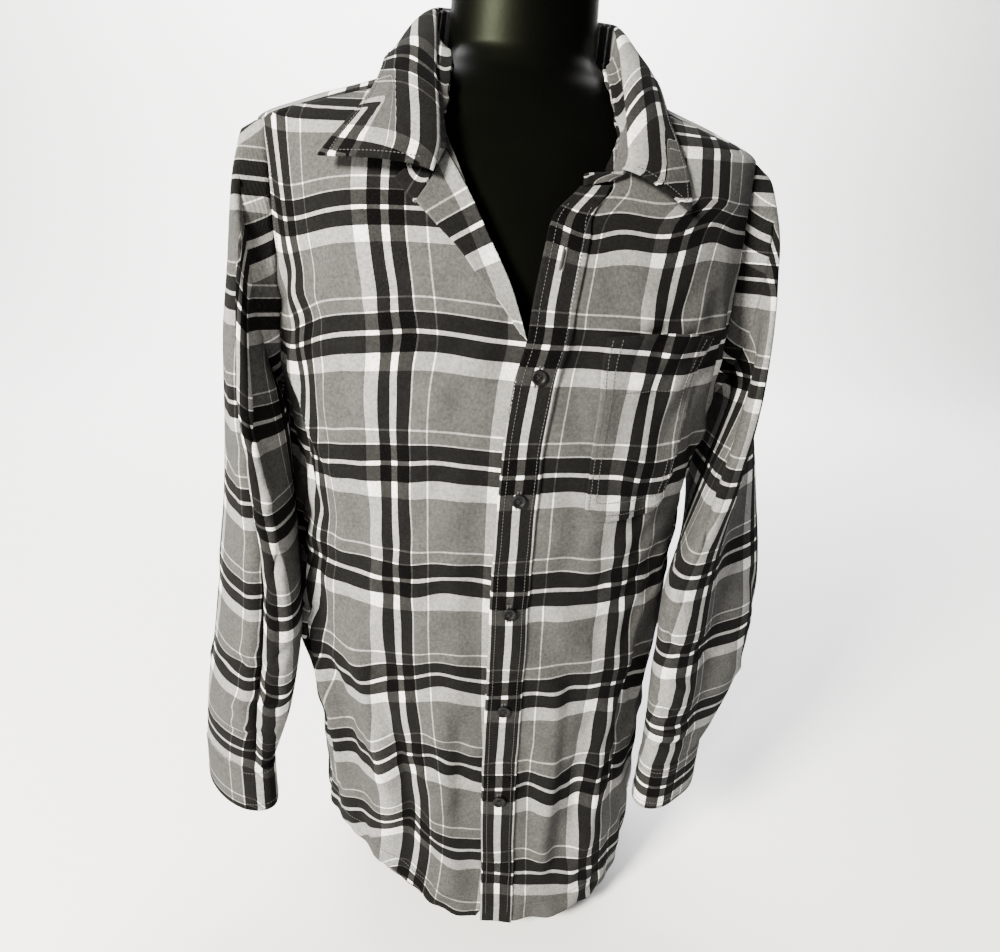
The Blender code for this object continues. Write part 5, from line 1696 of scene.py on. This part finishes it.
def form():
    """The smooth black torso inside the shirt, closed above the neck and at its flat base."""
    below = np.linspace(FORM[0].height, FORM_SPLIT, FORM_ROWS_BELOW)
    above = np.linspace(FORM_SPLIT, FORM[-1].height, FORM_ROWS_ABOVE)[1:]
    angle = np.linspace(0, 360, FORM_SIDES, endpoint=False)
    body, _ = surface(FORM, *np.meshgrid(angle, np.concatenate([below, above])))
    top_middle, low_middle = body[-1].mean(axis=0), body[0].mean(axis=0)
    crown = [top_middle + (body[-1] - top_middle) * share + (0, 0, rise) for share, rise in CROWN]
    foot = [low_middle + (body[0] - low_middle) * POLE]
    body = np.concatenate([foot, body, crown])
    grid = np.arange(len(body) * FORM_SIDES).reshape(len(body), FORM_SIDES)
    faces = rows_of_faces(close_across(grid))
    points = body.reshape(-1, 3)
    piece = add_mesh("form_body", points, turned_out(points, faces))
    piece.data.materials.append(FORM_BLACK)
    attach(piece, "root")
    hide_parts("form")


# ---------------------------------------------------------------- floor, light, camera

CAMERA_PLACE = (-0.0847, -0.6142, 0.661)
CAMERA_TURN, CAMERA_PITCH, CAMERA_ROLL = 8.5, 20.0, 4.2  # degrees
CAMERA_LENS, CAMERA_SENSOR = 24.77, 36  # millimetres
FLOOR_SIDE, FLOOR_FRONT, FLOOR_BACK = 6.0, -5.0, 2.2
SWEEP_RADIUS, SWEEP_STEPS, WALL_TOP = 1.2, 16, 3.4


def set_stage():
    """A pale floor that sweeps up into a pale wall behind, as one sheet.

    Its profile is level, then a quarter circle, then upright.
    """
    turn = np.linspace(0, np.pi / 2, SWEEP_STEPS)
    deep = [FLOOR_FRONT, *(FLOOR_BACK + SWEEP_RADIUS * np.sin(turn)), FLOOR_BACK + SWEEP_RADIUS]
    tall = [0.0, *(SWEEP_RADIUS * (1 - np.cos(turn))), WALL_TOP]
    x, y = np.meshgrid([-FLOOR_SIDE, FLOOR_SIDE], deep)
    z = np.repeat(np.array(tall)[:, None], 2, 1) - HEM_CLEARANCE
    grid = np.arange(x.size).reshape(x.shape)
    floor = add_mesh("floor", np.stack([x, y, z], -1).reshape(-1, 3), rows_of_faces(grid))
    material, _, shader = new_material("pale_floor")
    set_inputs(shader, {"Base Color": (0.93, 0.93, 0.93, 1), "Roughness": 0.9})
    floor.data.materials.append(material)


def add_light(name, place, target, size, power, colour):
    """A rectangular lamp that faces its target."""
    lamp = bpy.data.lights.new(name, "AREA")
    lamp.shape = "RECTANGLE"
    lamp.size, lamp.size_y = size
    lamp.energy = power
    lamp.color = colour
    thing = bpy.data.objects.new(name, lamp)
    bpy.context.scene.collection.objects.link(thing)
    away = Vector(target) - Vector(place)
    thing.matrix_world = Matrix.Translation(place) @ away.to_track_quat("-Z", "Y").to_matrix().to_4x4()


def light_scene():
    """A small warm key before the wearer's right side, a soft lamp above and behind, and one on the wall."""
    world = bpy.data.worlds.new("studio")
    world.use_nodes = True
    set_inputs(world.node_tree.nodes["Background"], {"Color": (0.86, 0.90, 1.0, 1), "Strength": 0.10})
    bpy.context.scene.world = world
    add_light("key", (-1.50, -1.40, 1.45), (0, 0, 0.42), (0.5, 0.5), 290, (1.0, 0.96, 0.84))
    add_light("top", (0.0, 1.5, 2.6), (0, 1.1, 0.0), (2.4, 1.2), 50, (0.96, 0.97, 1.0))
    add_light("wall_wash", (0.0, 1.6, 2.8), (0, 3.4, 0.6), (4.0, 1.2), 400, (1.0, 1.0, 1.0))


def set_camera():
    """Looks along turn and pitch from its place, rolled a little."""
    turn, pitch, roll = np.radians([CAMERA_TURN, CAMERA_PITCH, CAMERA_ROLL])
    level = np.array([np.sin(turn), np.cos(turn), 0.0])
    right = np.array([np.cos(turn), -np.sin(turn), 0.0])
    forward = level * np.cos(pitch) - np.array([0, 0, np.sin(pitch)])
    up = level * np.sin(pitch) + np.array([0, 0, np.cos(pitch)])
    rolled_right = right * np.cos(roll) + up * np.sin(roll)
    rolled_up = up * np.cos(roll) - right * np.sin(roll)
    data = bpy.data.cameras.new("camera")
    data.lens = CAMERA_LENS
    data.sensor_width = CAMERA_SENSOR
    thing = bpy.data.objects.new("camera", data)
    bpy.context.scene.collection.objects.link(thing)
    axes = np.stack([rolled_right, rolled_up, -forward], 1)
    turned = np.eye(4)
    turned[:3, :3] = axes
    turned[:3, 3] = CAMERA_PLACE
    thing.matrix_world = Matrix(turned.tolist())
    bpy.context.scene.camera = thing


# ---------------------------------------------------------------- all of it

set_camera()
set_stage()
light_scene()
form()
front_left()
front_right()
back_panel()
yoke()
sleeve("sleeve_left", SLEEVE_LEFT, 1)
sleeve("sleeve_right", SLEEVE_RIGHT, -1)
cuff("cuff_left", SLEEVE_LEFT, 1)
cuff("cuff_right", SLEEVE_RIGHT, -1)
band()
lapel()
pocket()
collar()
front_buttons()
